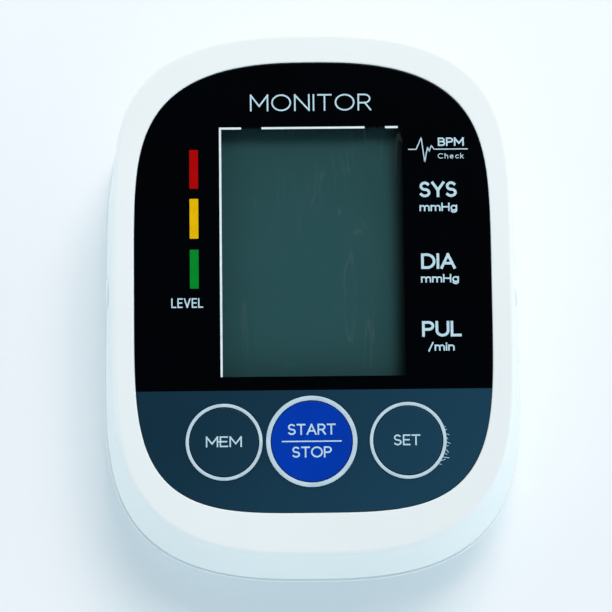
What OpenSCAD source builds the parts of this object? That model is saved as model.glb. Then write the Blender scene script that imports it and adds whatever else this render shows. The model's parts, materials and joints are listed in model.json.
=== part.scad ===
// Digital upper-arm blood pressure monitor: a wedge-shaped two-part housing with a printed
// front panel, display, three keys, battery bay, air pump, exhaust valve and control board.
// Millimetres. X to the right, Y to the rear, Z up, origin on the table under the middle.

/* [Body] */
// Width over the lip at the parting line
body_w = 100.8; // [98:0.2:122]
// Length over the lip at the parting line
body_l = 128.8; // [127:0.2:156]
// Height of the parting line above the table
parting_h = 16; // [15.5:0.5:17]
// Height of the sloping top face at the middle of the body
deck_h = 42; // [42:0.5:52]
// Slope of the top face, which rises to the rear
deck_tilt = 7; // [6:0.5:8]
// Wall thickness of both housing halves
wall = 2.2; // [1.8:0.1:2.6]
// How far the lip of the lower half stands proud of the upper wall
lip_proud = 0.5; // [0.3:0.1:0.8]
// Height of that lip
lip_h = 1.2; // [0.8:0.1:2]
// How far the side walls lean in towards the top
side_draft = 3; // [2:0.1:4]
// How far the rear wall leans in towards the top
rear_draft = 2.6; // [1.5:0.1:4]
// How far the front wall leans in towards the top
front_draft = 2.4; // [0.6:0.1:4]
// Rounding of the top edge, measured across the top face
edge_across = 1.2; // [0.8:0.1:6]
// Rounding of the top edge, measured down the wall
edge_down = 1.2; // [0.8:0.1:4]
// How far the lower half tucks in under the lip
base_tuck = 4.4; // [3:0.1:5]
// Thickness of the floor
floor_t = 2; // [1.6:0.1:2.4]

/* [Feet] */
// Radius of each rubber foot
foot_r = 4.5; // [3:0.1:5]
// Height of the feet below the floor
foot_h = 1.5; // [1.5:0.1:2.5]
// Depth of the recess that each foot is glued into
foot_recess = 0.4; // [0.2:0.1:0.8]

/* [Front panel] */
// White rim between the panel and the side of the top face
rim_side = 5.3; // [4.5:0.1:7]
// White rim at the rear of the top face
rim_rear = 7.15; // [6.5:0.1:10]
// White rim at the front of the top face
rim_front = 10; // [9.6:0.1:13]
// Thickness of the panel
panel_t = 1.5; // [1:0.1:2]
// How far the panel lies below the rim
panel_sink = 0.2; // [0:0.1:0.5]
// Width of the clear display window
window_w = 43; // [36:0.1:50]
// Length of the clear display window
window_l = 59.4; // [50:0.1:64]
// Middle of the window, rearwards from the middle of the body
window_v = 9.1; // [8:0.1:12]
// Thickness of the shelf that carries the panel
shelf_t = 2; // [1.6:0.1:2.4]

/* [Keys] */
// Middle of the memory key, across the body
mem_u = -20.95; // [-24:0.05:-20.5]
// Middle of the start and stop key, across the body
start_u = -0.7; // [-1:0.05:1]
// Middle of the set key, across the body
set_u = 21.6; // [20.5:0.05:24]
// Middle of the keys, along the body
key_v = -35.1; // [-38:0.1:-34]
// Outer radius of the trim ring of the large key
start_ring_r = 10.55; // [9:0.05:10.9]
// Width of the trim ring of the large key
start_ring_w = 1.04; // [0.8:0.1:1.6]
// Outer radius of the trim rings of the small keys
side_ring_r = 8.88; // [7.5:0.02:9]
// Width of the trim rings of the small keys
side_ring_w = 0.76; // [0.6:0.02:1.3]
// Gap between a key and its ring
key_gap = 0.15; // [0.1:0.05:0.3]
// How far a key travels
key_travel = 0.6; // [0.3:0.1:0.8]
// Height of the keys above the rim
key_proud = 0.1; // [0:0.1:0.6]
// Width of the flange that keeps a key in its hole
key_flange = 1.2; // [0.8:0.1:1.25]

/* [Display] */
// Width of the liquid crystal glass
lcd_w = 52; // [46:0.5:56]
// Length of the liquid crystal glass
lcd_l = 64; // [62:0.5:65]
// Thickness of the glass sandwich
lcd_t = 2.8; // [2:0.1:3]
// Thickness of the foam gasket over the glass
gasket_t = 0.6; // [0.4:0.1:1]

/* [Control board] */
// Depth of the top of the board below the top face
board_depth = 11; // [11:0.1:13]
// Thickness of the board
board_t = 1.6; // [1:0.1:1.6]
// Radius of the screws that hold the board
board_screw_r = 1.1; // [0.8:0.05:1.3]

/* [Batteries] */
// Diameter of an AA cell
cell_d = 14.5; // [13.5:0.1:14.5]
// Length of an AA cell with its button
cell_l = 50.5; // [48:0.1:50.5]
// Distance between neighbouring cells
cell_pitch = 15; // [14.8:0.1:15.2]
// Room at the ends of the cells for contacts and springs
contact_room = 9.5; // [8:0.1:10]
// Thickness of the walls of the battery bay
bay_wall = 1.5; // [1.2:0.1:2]
// Rear end of the battery bay
bay_rear = 18; // [16:0.5:19]
// Gap round the battery door
door_gap = 0.3; // [0.2:0.05:0.5]

/* [Air system] */
// Radius of the pump motor
motor_r = 12; // [10:0.1:12]
// Length of the pump motor
motor_l = 31; // [25:0.5:32]
// Radius of the pump head
head_r = 13.5; // [12.5:0.1:13.5]
// Length of the pump head
head_l = 25; // [22:0.5:26]
// Distance of the pump's axis from the rear wall beside the end of the motor
pump_inset = 17.757; // [17:0.001:19]
// Radius of the bore that takes the cuff hose's plug
port_r = 2.2; // [2:0.05:2.4]
// Depth of that bore
port_l = 10; // [8:0.5:11]
// Height of the two side sockets above the table
port_h = 24; // [23:0.5:24.5]
// Place of the two side sockets along the body
port_y = 4; // [0:0.5:6]
// Radius of the hose barbs inside
barb_r = 1.6; // [1.4:0.1:1.8]
// Wall of the silicone tubes
tube_wall = 0.8; // [0.6:0.1:1]
// How far the exhaust valve's plunger moves
valve_travel = 0.8; // [0.4:0.1:1]

/* [Hidden] */
$fn = 48;
eps = 0.01;
clear = 0.3;
// How far the leads stop short of what they are soldered to or plugged into
lead_gap = 0.3;

// Outline shape: how square the ends (first) and the sides (second) are
body_rear = [2.6, 4.9];
body_front = [2.7, 4.4];
panel_rear = [2.6, 4.7];
panel_front = [3.6, 4.4];
outline_points = 72;
round_steps = 5;

// Levels measured from the top face, downwards negative
shelf_top = -panel_sink - panel_t;
shelf_bottom = shelf_top - shelf_t;
lcd_top = shelf_bottom - gasket_t;
lcd_bottom = lcd_top - lcd_t;
board_top = -board_depth;
board_bottom = board_top - board_t;

// Levels measured from the table
floor_z = foot_h;
floor_top = floor_z + floor_t;
cell_z = floor_top + 0.6 + cell_d / 2;
bay_roof = cell_z + cell_d / 2 + 0.6;
bay_top = bay_roof + bay_wall + 0.1;

// Outline sizes
top_half_w = body_w / 2 - lip_proud - side_draft;
top_rear = body_l / 2 - lip_proud - rear_draft;
top_front = body_l / 2 - lip_proud - front_draft;
panel_half_w = top_half_w - rim_side;
panel_rear_v = top_rear - rim_rear;
panel_front_v = top_front - rim_front;
panel_fit = 0.1;
tongue_w = 1.1;
tongue_h = 1.2;
tongue_fit = 0.5;

// Keys: place across the body, outer radius and width of the ring
KEYS = [[mem_u, side_ring_r, side_ring_w], [start_u, start_ring_r, start_ring_w],
    [set_u, side_ring_r, side_ring_w]];
MEM = KEYS[0];
START = KEYS[1];
SET = KEYS[2];
flange_t = 1;
post_r = 2;
plunger_r = 1.7;
plunger_fit = 0.08;
switch_size = 6;
switch_h = 3.4;
switch_top = board_top + switch_h;
plunger_top = switch_top + key_travel + 0.4;
plunger_l = 2;

// Display window: a slim white edge of the shelf shows at the left and at the rear
window_u = -0.15;
window_edge = 0.65;
notch_w = 5;
notch_v = 1.2;
NOTCH_U = [-14.05, 14.95];
lcd_v = window_v + 1;
lcd_rim = 1.5;

// Battery bay and its door
bay_half_w = (cell_l + contact_room) / 2;
bay_front = bay_rear - 4 * cell_pitch - 4;
CELL_Y = [for (i = [0:3]) bay_front + 2 + cell_pitch * (i + 0.5)];
tongue_u = 18;
tongue_half = 4;
tongue_reach = 3;
tongue_t = 1.2;
latch_half = 7.5;
latch_h = 5.5;
latch_t = 1.2;
latch_depth = 2.6;
latch_lip = 0.7;
pocket_y = bay_front - latch_depth - latch_lip;
contact_t = 0.4;

// Screws of the housing
screw_r = 1.25;
screw_fit = 0.05;
head_screw_r = 2.8;
head_screw_h = 2;
boss_r = 3.2;
sink_r = 3;
sink_h = 7.5;
SCREWS = [[-body_w / 2 + 8.9, bay_rear + 1], [body_w / 2 - 8.9, bay_rear + 1],
    [-body_w / 2 + 10.4, -34], [body_w / 2 - 10.4, -34]];
BOARD_SCREWS = [[-36, 30], [36, 30], [-36, -20], [36, -20], [0, -51]];
FEET = [[-28, body_l / 2 - 16.4], [28, body_l / 2 - 16.4],
    [-25, -body_l / 2 + 12.9], [25, -body_l / 2 + 12.9]];

// Air system, from the manifold on the left to the motor on the right
tube_r = barb_r + tube_wall;
manifold_x = -body_w / 2 + 14.9;
manifold_r = 2.6;
manifold_z = port_h;
head_x = manifold_x + 11.5;
motor_x = head_x + head_l;
pump_y = rear_at(motor_x + motor_l) - pump_inset;
pump_z = floor_top + 1.2 + head_r;
pump_port_y = pump_y - 8;
sensor_port_y = pump_y - 13.5;
barb_fit = 0.02;
valve_x = manifold_x + 3;
valve_z = 11;
valve_half = 6;
valve_port_y = pump_y - 13;
valve_y = pump_y - 10.5;
barb_l = 3.4;
socket_face = wall_x(port_h) + 0.3;
socket_inner = wall_x(port_h + 6) - wall;
shaft_r = 1;
shaft_fit = 0.05;

// Pressure sensor on the underside of the board
SENSOR = [manifold_x + 0.5, -11];
sensor_size = [8, 7, 4.6];
sensor_port = deck_pt([SENSOR.x + sensor_size.x / 2, SENSOR.y, board_bottom - 2.8]);
sensor_tube_r = 1.8;
sensor_barb_r = 1.2;

// Colours
white = "#eef3f5";
black = "#08090c";
slate = "#1c3a48";
blue = "#1440a8";
silver = "#d5dade";
steel = "#a7adb2";
nickel = "#c9c6bc";
brass = "#b79a55";
rubber = "#3a3d40";
board_green = "#1d5a36";
ivory = "#e6e2d2";
tube_tint = "#dfe6e8";

// Point at u across, v rearwards and w above the sloping top face
function deck_pt(p) = [p.x, p.y * cos(deck_tilt) - p.z * sin(deck_tilt),
    deck_h + p.y * sin(deck_tilt) + p.z * cos(deck_tilt)];
// Height of the plane that lies w above the top face, at y
function deck_z(y, w) = deck_h + y * tan(deck_tilt) + w / cos(deck_tilt);
// Half width of the upper housing at height z, beside the middle
function wall_x(z) = body_w / 2 - lip_proud
    - side_draft * (z - parting_h) / (deck_h - edge_down - parting_h);

// How far back the lip of the housing reaches at x
function rear_at(x) = body_l / 2
    * pow(1 - pow(2 * abs(x) / body_w, body_rear[0]), 1 / body_rear[1]);

function curve_pt(a, b, square, t) = [
    a * sign(cos(t)) * pow(abs(cos(t)), 2 / square[0]),
    b * sign(sin(t)) * pow(abs(sin(t)), 2 / square[1])];
function outline(a, rear, front, rear_shape, front_shape) = [
    for (i = [0:outline_points - 1])
        let (t = 360 * i / outline_points)
        t < 180 ? curve_pt(a, rear, rear_shape, t) : curve_pt(a, front, front_shape, t)];
function body_outline(inset) = outline(body_w / 2 - inset, body_l / 2 - inset,
    body_l / 2 - inset, body_rear, body_front);
function top_outline(inset) = outline(top_half_w - inset, top_rear - inset,
    top_front - inset, body_rear, body_front);
function panel_outline(grow) = outline(panel_half_w + grow, panel_rear_v + grow,
    panel_front_v + grow, panel_rear, panel_front);
function level(points, z) = [for (p = points) [p.x, p.y, z]];
function deck_level(points, w) = [for (p = points) deck_pt([p.x, p.y, w])];

// Smooth curve through the points, with the given number of steps between two of them
function spline_pt(a, b, c, d, t) = 0.5 * (2 * b + (c - a) * t
    + (2 * a - 5 * b + 4 * c - d) * t * t + (3 * b - a - 3 * c + d) * t * t * t);
function spline(route, steps) = concat([
    for (i = [0:len(route) - 2], k = [0:steps - 1])
        spline_pt(route[max(i - 1, 0)], route[i], route[i + 1],
            route[min(i + 2, len(route) - 1)], k / steps)], [route[len(route) - 1]]);
function unit(v) = v / norm(v);
function tangent(path, i) = unit(path[min(i + 1, len(path) - 1)] - path[max(i - 1, 0)]);
function tube_ring(path, i, r, sides, side_on) =
    let (t = tangent(path, i), n = unit(cross(t, side_on)), b = cross(t, n))
    [for (k = [0:sides - 1]) path[i] + r * (n * cos(360 * k / sides) + b * sin(360 * k / sides))];

// Solid through a stack of rings with equal numbers of points, the first one lowest
module loft(rings) {
    n = len(rings[0]);
    m = len(rings);
    sides = [for (k = [0:m - 2], i = [0:n - 1])
        let (a = k * n + i, b = k * n + (i + 1) % n, c = b + n, d = a + n)
        each [[a, d, c], [a, c, b]]];
    bottom = [for (i = [0:n - 1]) i];
    top = [for (i = [n - 1:-1:0]) (m - 1) * n + i];
    polyhedron(points = [for (r = rings) each r], faces = concat(sides, [bottom, top]));
}

// Round solid along a path; side_on is any direction the path never runs along
module sweep(path, r, sides, side_on) {
    loft([for (i = [0:len(path) - 1]) tube_ring(path, i, r, sides, side_on)]);
}

module block(low, high) {
    translate(low) cube(high - low);
}

// Cylinder from a to b
module rod(a, b, r) {
    v = b - a;
    translate(a) rotate([0, acos(v.z / norm(v)), atan2(v.y, v.x)]) cylinder(h = norm(v), r = r);
}

module on_deck() {
    translate([0, 0, deck_h]) rotate([deck_tilt, 0, 0]) children();
}

module at_key(key) {
    on_deck() translate([key[0], key_v, 0]) children();
}

// ---- housing ----

module top_shell() {
    corner = [for (i = [0:round_steps]) 90 * i / round_steps];
    outer = concat([level(body_outline(lip_proud), parting_h)], [for (t = corner)
        deck_level(top_outline(edge_across * (1 - cos(t))), -edge_down * (1 - sin(t)))]);
    inner = [level(body_outline(lip_proud + wall), parting_h - 1),
        deck_level(top_outline(wall), shelf_bottom)];
    difference() {
        loft(outer);
        loft(inner);
    }
}

module window_cut() {
    left = window_u - window_w / 2 + window_edge;
    right = window_u + window_w / 2 + window_edge;
    rear = window_v + window_l / 2 - window_edge;
    front = window_v - window_l / 2 - window_edge;
    block([left, front, shelf_bottom - 1], [right, rear, shelf_top + 1]);
    for (u = NOTCH_U)
        block([u - notch_w / 2, rear - 1, shelf_bottom - 1],
            [u + notch_w / 2, rear + notch_v, shelf_top + 1]);
}

module top_housing() {
    color(white) difference() {
        union() {
            top_shell();
            for (s = SCREWS)
                translate([s.x, s.y, parting_h])
                    cylinder(h = deck_z(s.y, shelf_bottom + shelf_t / 2) - parting_h, r = boss_r);
            on_deck() for (s = BOARD_SCREWS)
                translate([s.x, s.y, board_top])
                    cylinder(h = shelf_bottom - board_top + shelf_t / 2, r = 2.6);
        }
        on_deck() {
            translate([0, 0, shelf_top]) linear_extrude(-shelf_top + 1)
                polygon(panel_outline(panel_fit));
            window_cut();
            for (k = KEYS)
                translate([k[0], key_v, shelf_bottom - 1])
                    cylinder(h = shelf_t + 2, r = k[1] - k[2] + 0.1);
            for (s = BOARD_SCREWS)
                translate([s.x, s.y, board_top - eps])
                    cylinder(h = 6.5, r = board_screw_r + screw_fit);
        }
        for (s = SCREWS)
            translate([s.x, s.y, parting_h - 1]) cylinder(h = 13, r = screw_r + screw_fit);
        for (side = [-1, 1])
            rod([side * (body_w / 2 + 2), port_y, port_h],
                [side * (body_w / 2 - 12), port_y, port_h], 4.05);
    }
}

module bottom_shell() {
    lip_top = parting_h;
    lip_low = parting_h - lip_h;
    rings = [level(body_outline(base_tuck + 1.6), floor_z),
        level(body_outline(base_tuck + 0.5), floor_z + 0.5),
        level(body_outline(base_tuck), floor_z + 1.5),
        level(body_outline(lip_proud + 0.6), lip_low - 0.4),
        level(body_outline(0.1), lip_low),
        level(body_outline(0), lip_low + 0.2),
        level(body_outline(0), lip_top - 0.2),
        level(body_outline(0.2), lip_top)];
    cavity = [level(body_outline(base_tuck + wall), floor_top),
        level(body_outline(lip_proud + wall + tongue_fit + tongue_w), lip_top + 0.5)];
    difference() {
        loft(rings);
        loft(cavity);
    }
    // Tongue that keys the two halves together
    translate([0, 0, lip_top - 0.6]) linear_extrude(tongue_h + 0.6) difference() {
        polygon(body_outline(lip_proud + wall + tongue_fit));
        polygon(body_outline(lip_proud + wall + tongue_fit + tongue_w));
    }
}

module bay_walls() {
    out = bay_wall;
    difference() {
        union() {
            block([-bay_half_w - out, bay_front - out, floor_top - 1],
                [bay_half_w + out, bay_rear + out, bay_top]);
            block([-latch_half - 2, pocket_y - out, floor_top - 1],
                [latch_half + 2, bay_front, floor_top + latch_h + 2.6]);
        }
        block([-bay_half_w, bay_front, 0], [bay_half_w, bay_rear, bay_roof]);
        block([-latch_half - 0.5, pocket_y, 0],
            [latch_half + 0.5, bay_front + 1, floor_top + latch_h + 1.2]);
    }
}

module bottom_housing() {
    color(white) difference() {
        union() {
            bottom_shell();
            bay_walls();
            for (s = SCREWS)
                translate([s.x, s.y, floor_z + 1]) cylinder(h = parting_h - floor_z - 1, r = 4.4);
        }
        // Door opening, latch notch and tongue slots
        block([-bay_half_w, bay_front, 0], [bay_half_w, bay_rear, floor_top + 1]);
        block([-latch_half - 0.5, pocket_y, 0], [latch_half + 0.5, bay_front + 1, floor_top + 1]);
        for (side = [-1, 1])
            translate([side * tongue_u, 0, 0])
                block([-tongue_half - 0.5, bay_rear - 1, floor_top],
                    [tongue_half + 0.5, bay_rear + bay_wall + 1, floor_top + 3.4]);
        // Slots for the two solder tabs
        for (y = [CELL_Y[0], CELL_Y[3]])
            block([bay_half_w - contact_t - 0.2, y - 2.2, bay_roof - 1],
                [bay_half_w + eps, y + 2.2, bay_top + 1]);
        for (s = SCREWS) {
            translate([s.x, s.y, 0]) cylinder(h = floor_z + sink_h, r = sink_r);
            translate([s.x, s.y, 0]) cylinder(h = parting_h + 1, r = screw_r + 0.2);
        }
        for (f = FEET)
            translate([f.x, f.y, 0]) cylinder(h = floor_z + foot_recess, r = foot_r + 0.1);
    }
}

module battery_door() {
    half = bay_half_w - door_gap;
    rear = bay_rear - door_gap;
    front = bay_front + door_gap;
    tip = floor_top + door_gap + tongue_t;
    bridge = floor_top + latch_h;
    color(white) {
        block([-half, front, floor_z], [half, rear, floor_top]);
        for (side = [-1, 1]) translate([side * tongue_u, 0, 0]) {
            block([-tongue_half, rear - 2.2, floor_top - 1], [tongue_half, rear, tip]);
            block([-tongue_half, rear - 1, floor_top + door_gap],
                [tongue_half, bay_rear + tongue_reach, tip]);
        }
        // Springy latch: up from the door, over, and down to the finger tab
        block([-latch_half, front, floor_top - 1], [latch_half, front + latch_t, bridge]);
        block([-latch_half, bay_front - latch_depth + 0.3, bridge - latch_t],
            [latch_half, front + latch_t, bridge]);
        block([-latch_half, bay_front - latch_depth + 0.3, floor_z],
            [latch_half, bay_front - latch_depth + 0.3 + latch_t, bridge]);
        block([-latch_half, bay_front - latch_depth - latch_lip + 0.3, floor_top + clear],
            [latch_half, bay_front - latch_depth + 1, floor_top + clear + 1.2]);
    }
}

module rubber_feet() {
    color(rubber) for (f = FEET)
        translate([f.x, f.y, 0]) rotate_extrude() polygon([[0, 0], [foot_r - 0.8, 0],
            [foot_r, 0.8], [foot_r, foot_h + foot_recess], [0, foot_h + foot_recess]]);
}

module rating_label() {
    color(silver) block([-22, bay_rear + 7, floor_z - 0.15], [22, bay_rear + 26, floor_z]);
}

module housing_screws() {
    seat = floor_z + sink_h;
    color(steel) for (s = SCREWS)
        translate([s.x, s.y, 0]) difference() {
            union() {
                translate([0, 0, seat - head_screw_h]) cylinder(h = head_screw_h, r = head_screw_r);
                translate([0, 0, seat - eps]) cylinder(h = 17, r = screw_r);
            }
            for (a = [0, 90])
                rotate([0, 0, a]) block([-1.6, -0.35, 0], [1.6, 0.35, seat - head_screw_h + 1]);
        }
}

// ---- front panel and keys ----

module front_panel() {
    color(black) on_deck() difference() {
        translate([0, 0, shelf_top]) linear_extrude(panel_t) polygon(panel_outline(0));
        translate([window_u - window_w / 2, window_v - window_l / 2, shelf_top - 1])
            cube([window_w, window_l, panel_t + 2]);
        for (k = KEYS)
            translate([k[0], key_v, shelf_top - 1]) cylinder(h = panel_t + 2, r = k[1]);
    }
}

module display_window() {
    color("#9fb4b8", 0.4) on_deck()
        translate([window_u - window_w / 2, window_v - window_l / 2, shelf_top])
            cube([window_w, window_l, panel_t]);
}

module key_ring(key) {
    color(silver) at_key(key) translate([0, 0, shelf_top]) rotate_extrude() translate([key[1] - key[2], 0])
        polygon([[0, 0], [key[2], 0], [key[2], panel_t + 0.2], [key[2] - 0.25, panel_t + 0.45],
            [0.25, panel_t + 0.45], [0, panel_t + 0.2]]);
}

module key_cap(key, tint) {
    r = key[1] - key[2] - key_gap;
    under = shelf_bottom - clear - flange_t;
    color(tint) at_key(key) rotate_extrude() polygon([[0, plunger_top], [post_r, plunger_top],
        [post_r, under], [r + key_flange, under], [r + key_flange, under + flange_t],
        [r, under + flange_t], [r, key_proud - 0.25], [r - 0.25, key_proud], [0, key_proud]]);
}

module switch_plunger(key) {
    color(rubber) at_key(key)
        translate([0, 0, plunger_top - plunger_l]) cylinder(h = plunger_l, r = plunger_r);
}

module mem_ring() { key_ring(MEM); }
module start_ring() { key_ring(START); }
module set_ring() { key_ring(SET); }
module mem_button() { key_cap(MEM, slate); }
module start_button() { key_cap(START, blue); }
module set_button() { key_cap(SET, slate); }
module mem_plunger() { switch_plunger(MEM); }
module start_plunger() { switch_plunger(START); }
module set_plunger() { switch_plunger(SET); }

module switch_bodies() {
    bore_l = switch_top - (plunger_top - plunger_l) + key_travel + 0.2;
    color(steel) for (k = KEYS) at_key(k) difference() {
        block([-switch_size / 2, -switch_size / 2, board_top],
            [switch_size / 2, switch_size / 2, switch_top]);
        translate([0, 0, switch_top - bore_l])
            cylinder(h = bore_l + 1, r = plunger_r + plunger_fit);
    }
}

// ---- display ----

// Rectangular plate on the display's middle, from level low to level high
module lcd_plate(w, l, low, high) {
    translate([-w / 2, lcd_v - l / 2, low]) cube([w, l, high - low]);
}

module lcd_gasket() {
    color(rubber) on_deck() difference() {
        lcd_plate(lcd_w, lcd_l, lcd_top, shelf_bottom);
        translate([window_u - window_w / 2 - 1.6, window_v - window_l / 2 - 0.9, lcd_top - 1])
            cube([window_w + 3.2, window_l + 1.8, gasket_t + 2]);
    }
}

module lcd_glass() {
    color("#5d7a78") on_deck() lcd_plate(lcd_w, lcd_l, lcd_bottom, lcd_top);
}

module lcd_frame() {
    color(white) on_deck() difference() {
        lcd_plate(lcd_w + 2 * lcd_rim, lcd_l + 2 * lcd_rim, board_top, lcd_top);
        lcd_plate(lcd_w + 0.2, lcd_l + 0.2, board_top - 1, lcd_top + 1);
    }
}

module backlight_plate() {
    color("#f2f4ee") on_deck() lcd_plate(lcd_w - 2, lcd_l - 7, lcd_bottom - 3, lcd_bottom);
}

module zebra_strips() {
    color(rubber) on_deck() for (side = [-1, 1])
        translate([0, side * (lcd_l / 2 - 1.4), 0])
            block([-lcd_w / 2 + 1, lcd_v - 1.1, board_top], [lcd_w / 2 - 1, lcd_v + 1.1, lcd_bottom]);
}

// ---- control board ----

module main_board() {
    half_w = body_w / 2 - 10.4;
    color(board_green) on_deck() difference() {
        translate([0, 0, board_bottom]) linear_extrude(board_t)
            polygon(outline(half_w, body_l / 2 - 17.4, body_l / 2 - 10.4, panel_rear, panel_front));
        for (s = BOARD_SCREWS)
            translate([s.x, s.y, board_bottom - 1]) cylinder(h = board_t + 2, r = board_screw_r + 0.2);
        for (s = SCREWS)
            translate([s.x, (s.y + board_top * sin(deck_tilt)) / cos(deck_tilt), board_bottom - 1])
                cylinder(h = board_t + 2, r = boss_r + 1);
    }
}

module under_board(u, v, size) {
    translate([u - size.x / 2, v - size.y / 2, board_bottom - size.z]) cube(size);
}

module board_chips() {
    color("#17181a") on_deck() {
        under_board(6, -6, [12, 12, 1.4]);
        under_board(-12, -2, [5, 6, 1.3]);
        under_board(-12, -14, [5, 4, 1.3]);
        under_board(22, 4, [6, 5, 1.4]);
        for (i = [0:5]) under_board(-6 + 4 * i, -22, [2, 1.2, 0.8]);
        for (i = [0:3]) under_board(18 + 4 * i, -12, [2, 1.2, 0.8]);
    }
}

module board_capacitors() {
    color("#3d4148") on_deck() for (c = [[-36, -28], [36, 14], [36, -30]])
        translate([c.x, c.y, board_bottom - 5]) cylinder(h = 5, r = 2.5);
}

module wire_connectors() {
    color(ivory) on_deck() {
        under_board(30, 22, [8, 5, 4.5]);
        under_board(-14, 22, [8, 5, 4.5]);
        under_board(22, 13, [6, 5, 4.5]);
    }
}

module buzzer() {
    color("#202226") on_deck() translate([33.2, 8, board_top]) difference() {
        cylinder(h = 4, r = 4.4);
        translate([0, 0, 3]) cylinder(h = 2, r = 0.8);
    }
}

module board_screws() {
    color(steel) on_deck() for (s = BOARD_SCREWS) translate([s.x, s.y, 0]) difference() {
        union() {
            translate([0, 0, board_bottom - 1.3]) cylinder(h = 1.3, r = 2.2);
            translate([0, 0, board_bottom - eps]) cylinder(h = board_t + 5.5, r = board_screw_r);
        }
        for (a = [0, 90])
            rotate([0, 0, a])
                block([-1.2, -0.3, board_bottom - 2], [1.2, 0.3, board_bottom - 0.6]);
    }
}

module pressure_sensor() {
    color("#dcd8cc") difference() {
        union() {
            on_deck() under_board(SENSOR.x, SENSOR.y, sensor_size);
            rod(sensor_port - [1, 0, 0], sensor_port + [3.5, 0, 0], sensor_barb_r);
        }
        rod(sensor_port, sensor_port + [4, 0, 0], 0.6);
    }
}

module power_socket() {
    inner = socket_inner - 0.2;
    color("#1b1c1f") difference() {
        union() {
            block([inner - 10.5, port_y - 4.6, port_h - 4.6], [inner - 1, port_y + 4.6, port_h + 4.2]);
            rod([inner - 2, port_y, port_h], [socket_face, port_y, port_h], 4);
        }
        rod([inner - 7.5, port_y, port_h], [socket_face + 1, port_y, port_h], 2.9);
    }
}

module power_pin() {
    inner = socket_inner - 0.2;
    color(nickel) rod([inner - 7.5, port_y, port_h], [socket_face - 1.5, port_y, port_h], 1.02);
}

// ---- pump ----

module along_pump(x) {
    translate([x, pump_y, pump_z]) rotate([0, 90, 0]) children();
}

module motor_can() {
    color(steel) difference() {
        along_pump(motor_x) cylinder(h = motor_l, r = motor_r);
        along_pump(motor_x + 1) cylinder(h = motor_l - 2, r = motor_r - 1);
        along_pump(motor_x - 1) cylinder(h = 3, r = shaft_r + shaft_fit);
        along_pump(motor_x + motor_l - 1.5) cylinder(h = 3, r = shaft_r + shaft_fit);
    }
}

module motor_magnets() {
    color("#2b2d31") difference() {
        along_pump(motor_x + 4) cylinder(h = motor_l - 10, r = motor_r - 1.05);
        along_pump(motor_x + 3) cylinder(h = motor_l, r = motor_r - 3.2);
        for (side = [-1, 1])
            block([motor_x, pump_y - motor_r, pump_z + side * motor_r - 5],
                [motor_x + motor_l, pump_y + motor_r, pump_z + side * motor_r + 5]);
    }
}

module motor_rotor() {
    rotor_r = motor_r - 4;
    color(nickel) {
        along_pump(motor_x - 5) cylinder(h = motor_l + 6.2, r = shaft_r);
        difference() {
            along_pump(motor_x + 6) cylinder(h = motor_l - 14, r = rotor_r);
            for (a = [0:120:240])
                translate([0, pump_y, pump_z]) rotate([a, 0, 0])
                    block([motor_x + 5, -0.6, rotor_r - 4.5], [motor_x + motor_l, 0.6, rotor_r + 1]);
        }
        along_pump(motor_x + motor_l - 8) cylinder(h = 4.5, r = 2.6);
    }
}

// Eccentric that the motor turns; its slanted pin makes the wobble plate nod
module pump_crank() {
    color(ivory) difference() {
        union() {
            along_pump(motor_x - 5.5) cylinder(h = 4.7, r = 5);
            rod([motor_x - 5, pump_y + 3, pump_z], [motor_x - 12, pump_y + 0.8, pump_z], 0.7);
        }
        along_pump(motor_x - 5) cylinder(h = 6, r = shaft_r);
    }
}

module pump_frame() {
    color(ivory) difference() {
        along_pump(head_x + 9) cylinder(h = head_l - 9, r = head_r);
        along_pump(head_x + 8) cylinder(h = head_l - 9, r = head_r - 1.5);
        along_pump(motor_x - 3) cylinder(h = 4, r = 6);
    }
}

module wobble_plate() {
    color(white) difference() {
        union() {
            along_pump(head_x + 10.2) cylinder(h = 1.5, r = 10);
            along_pump(head_x + 11) cylinder(h = 4, r = 3.6);
        }
        along_pump(head_x + 12) cylinder(h = 6, r = 2.6);
    }
}

module pump_diaphragm() {
    color(rubber) difference() {
        union() {
            along_pump(head_x + 8) cylinder(h = 1, r = head_r);
            for (a = [0:120:240])
                translate([0, pump_y, pump_z]) rotate([a, 0, 0])
                    rod([head_x + 8.5, 0, 6.2], [head_x + 10.2, 0, 6.2], 3.8);
        }
        for (a = [0:120:240])
            translate([0, pump_y, pump_z]) rotate([a, 0, 0])
                rod([head_x + 7, 0, 6.2], [head_x + 9.6, 0, 6.2], 3.1);
    }
}

module pump_lid() {
    color(ivory) difference() {
        union() {
            along_pump(head_x) cylinder(h = 8, r = head_r);
            rod([head_x + 1, pump_port_y, manifold_z], [head_x - barb_l, pump_port_y, manifold_z], barb_r);
        }
        along_pump(head_x + 3) cylinder(h = 6, r = head_r - 3);
        rod([head_x + 4, pump_port_y, manifold_z],
            [head_x - barb_l - 1, pump_port_y, manifold_z], barb_r / 2);
    }
}

module pump_cradle() {
    color("#54585c") difference() {
        block([head_x + 4, pump_y - 9, floor_top], [motor_x + motor_l - 4, pump_y + 9, pump_z - 6]);
        along_pump(head_x) cylinder(h = head_l + 0.1, r = head_r + 0.05);
        along_pump(motor_x - 1) cylinder(h = motor_l + 2, r = motor_r + 0.05);
    }
}

// ---- exhaust valve ----

module valve_frame() {
    y0 = valve_y;
    color(steel) difference() {
        block([valve_x - valve_half, y0, valve_z - valve_half],
            [valve_x + valve_half, y0 + 12, valve_z + valve_half]);
        block([valve_x - valve_half + 1, y0 + 1, valve_z - valve_half - 1],
            [valve_x + valve_half - 1, y0 + 11, valve_z + valve_half + 1]);
        rod([valve_x, y0 - 1, valve_z], [valve_x, y0 + 13, valve_z], 2.05);
    }
}

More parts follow.
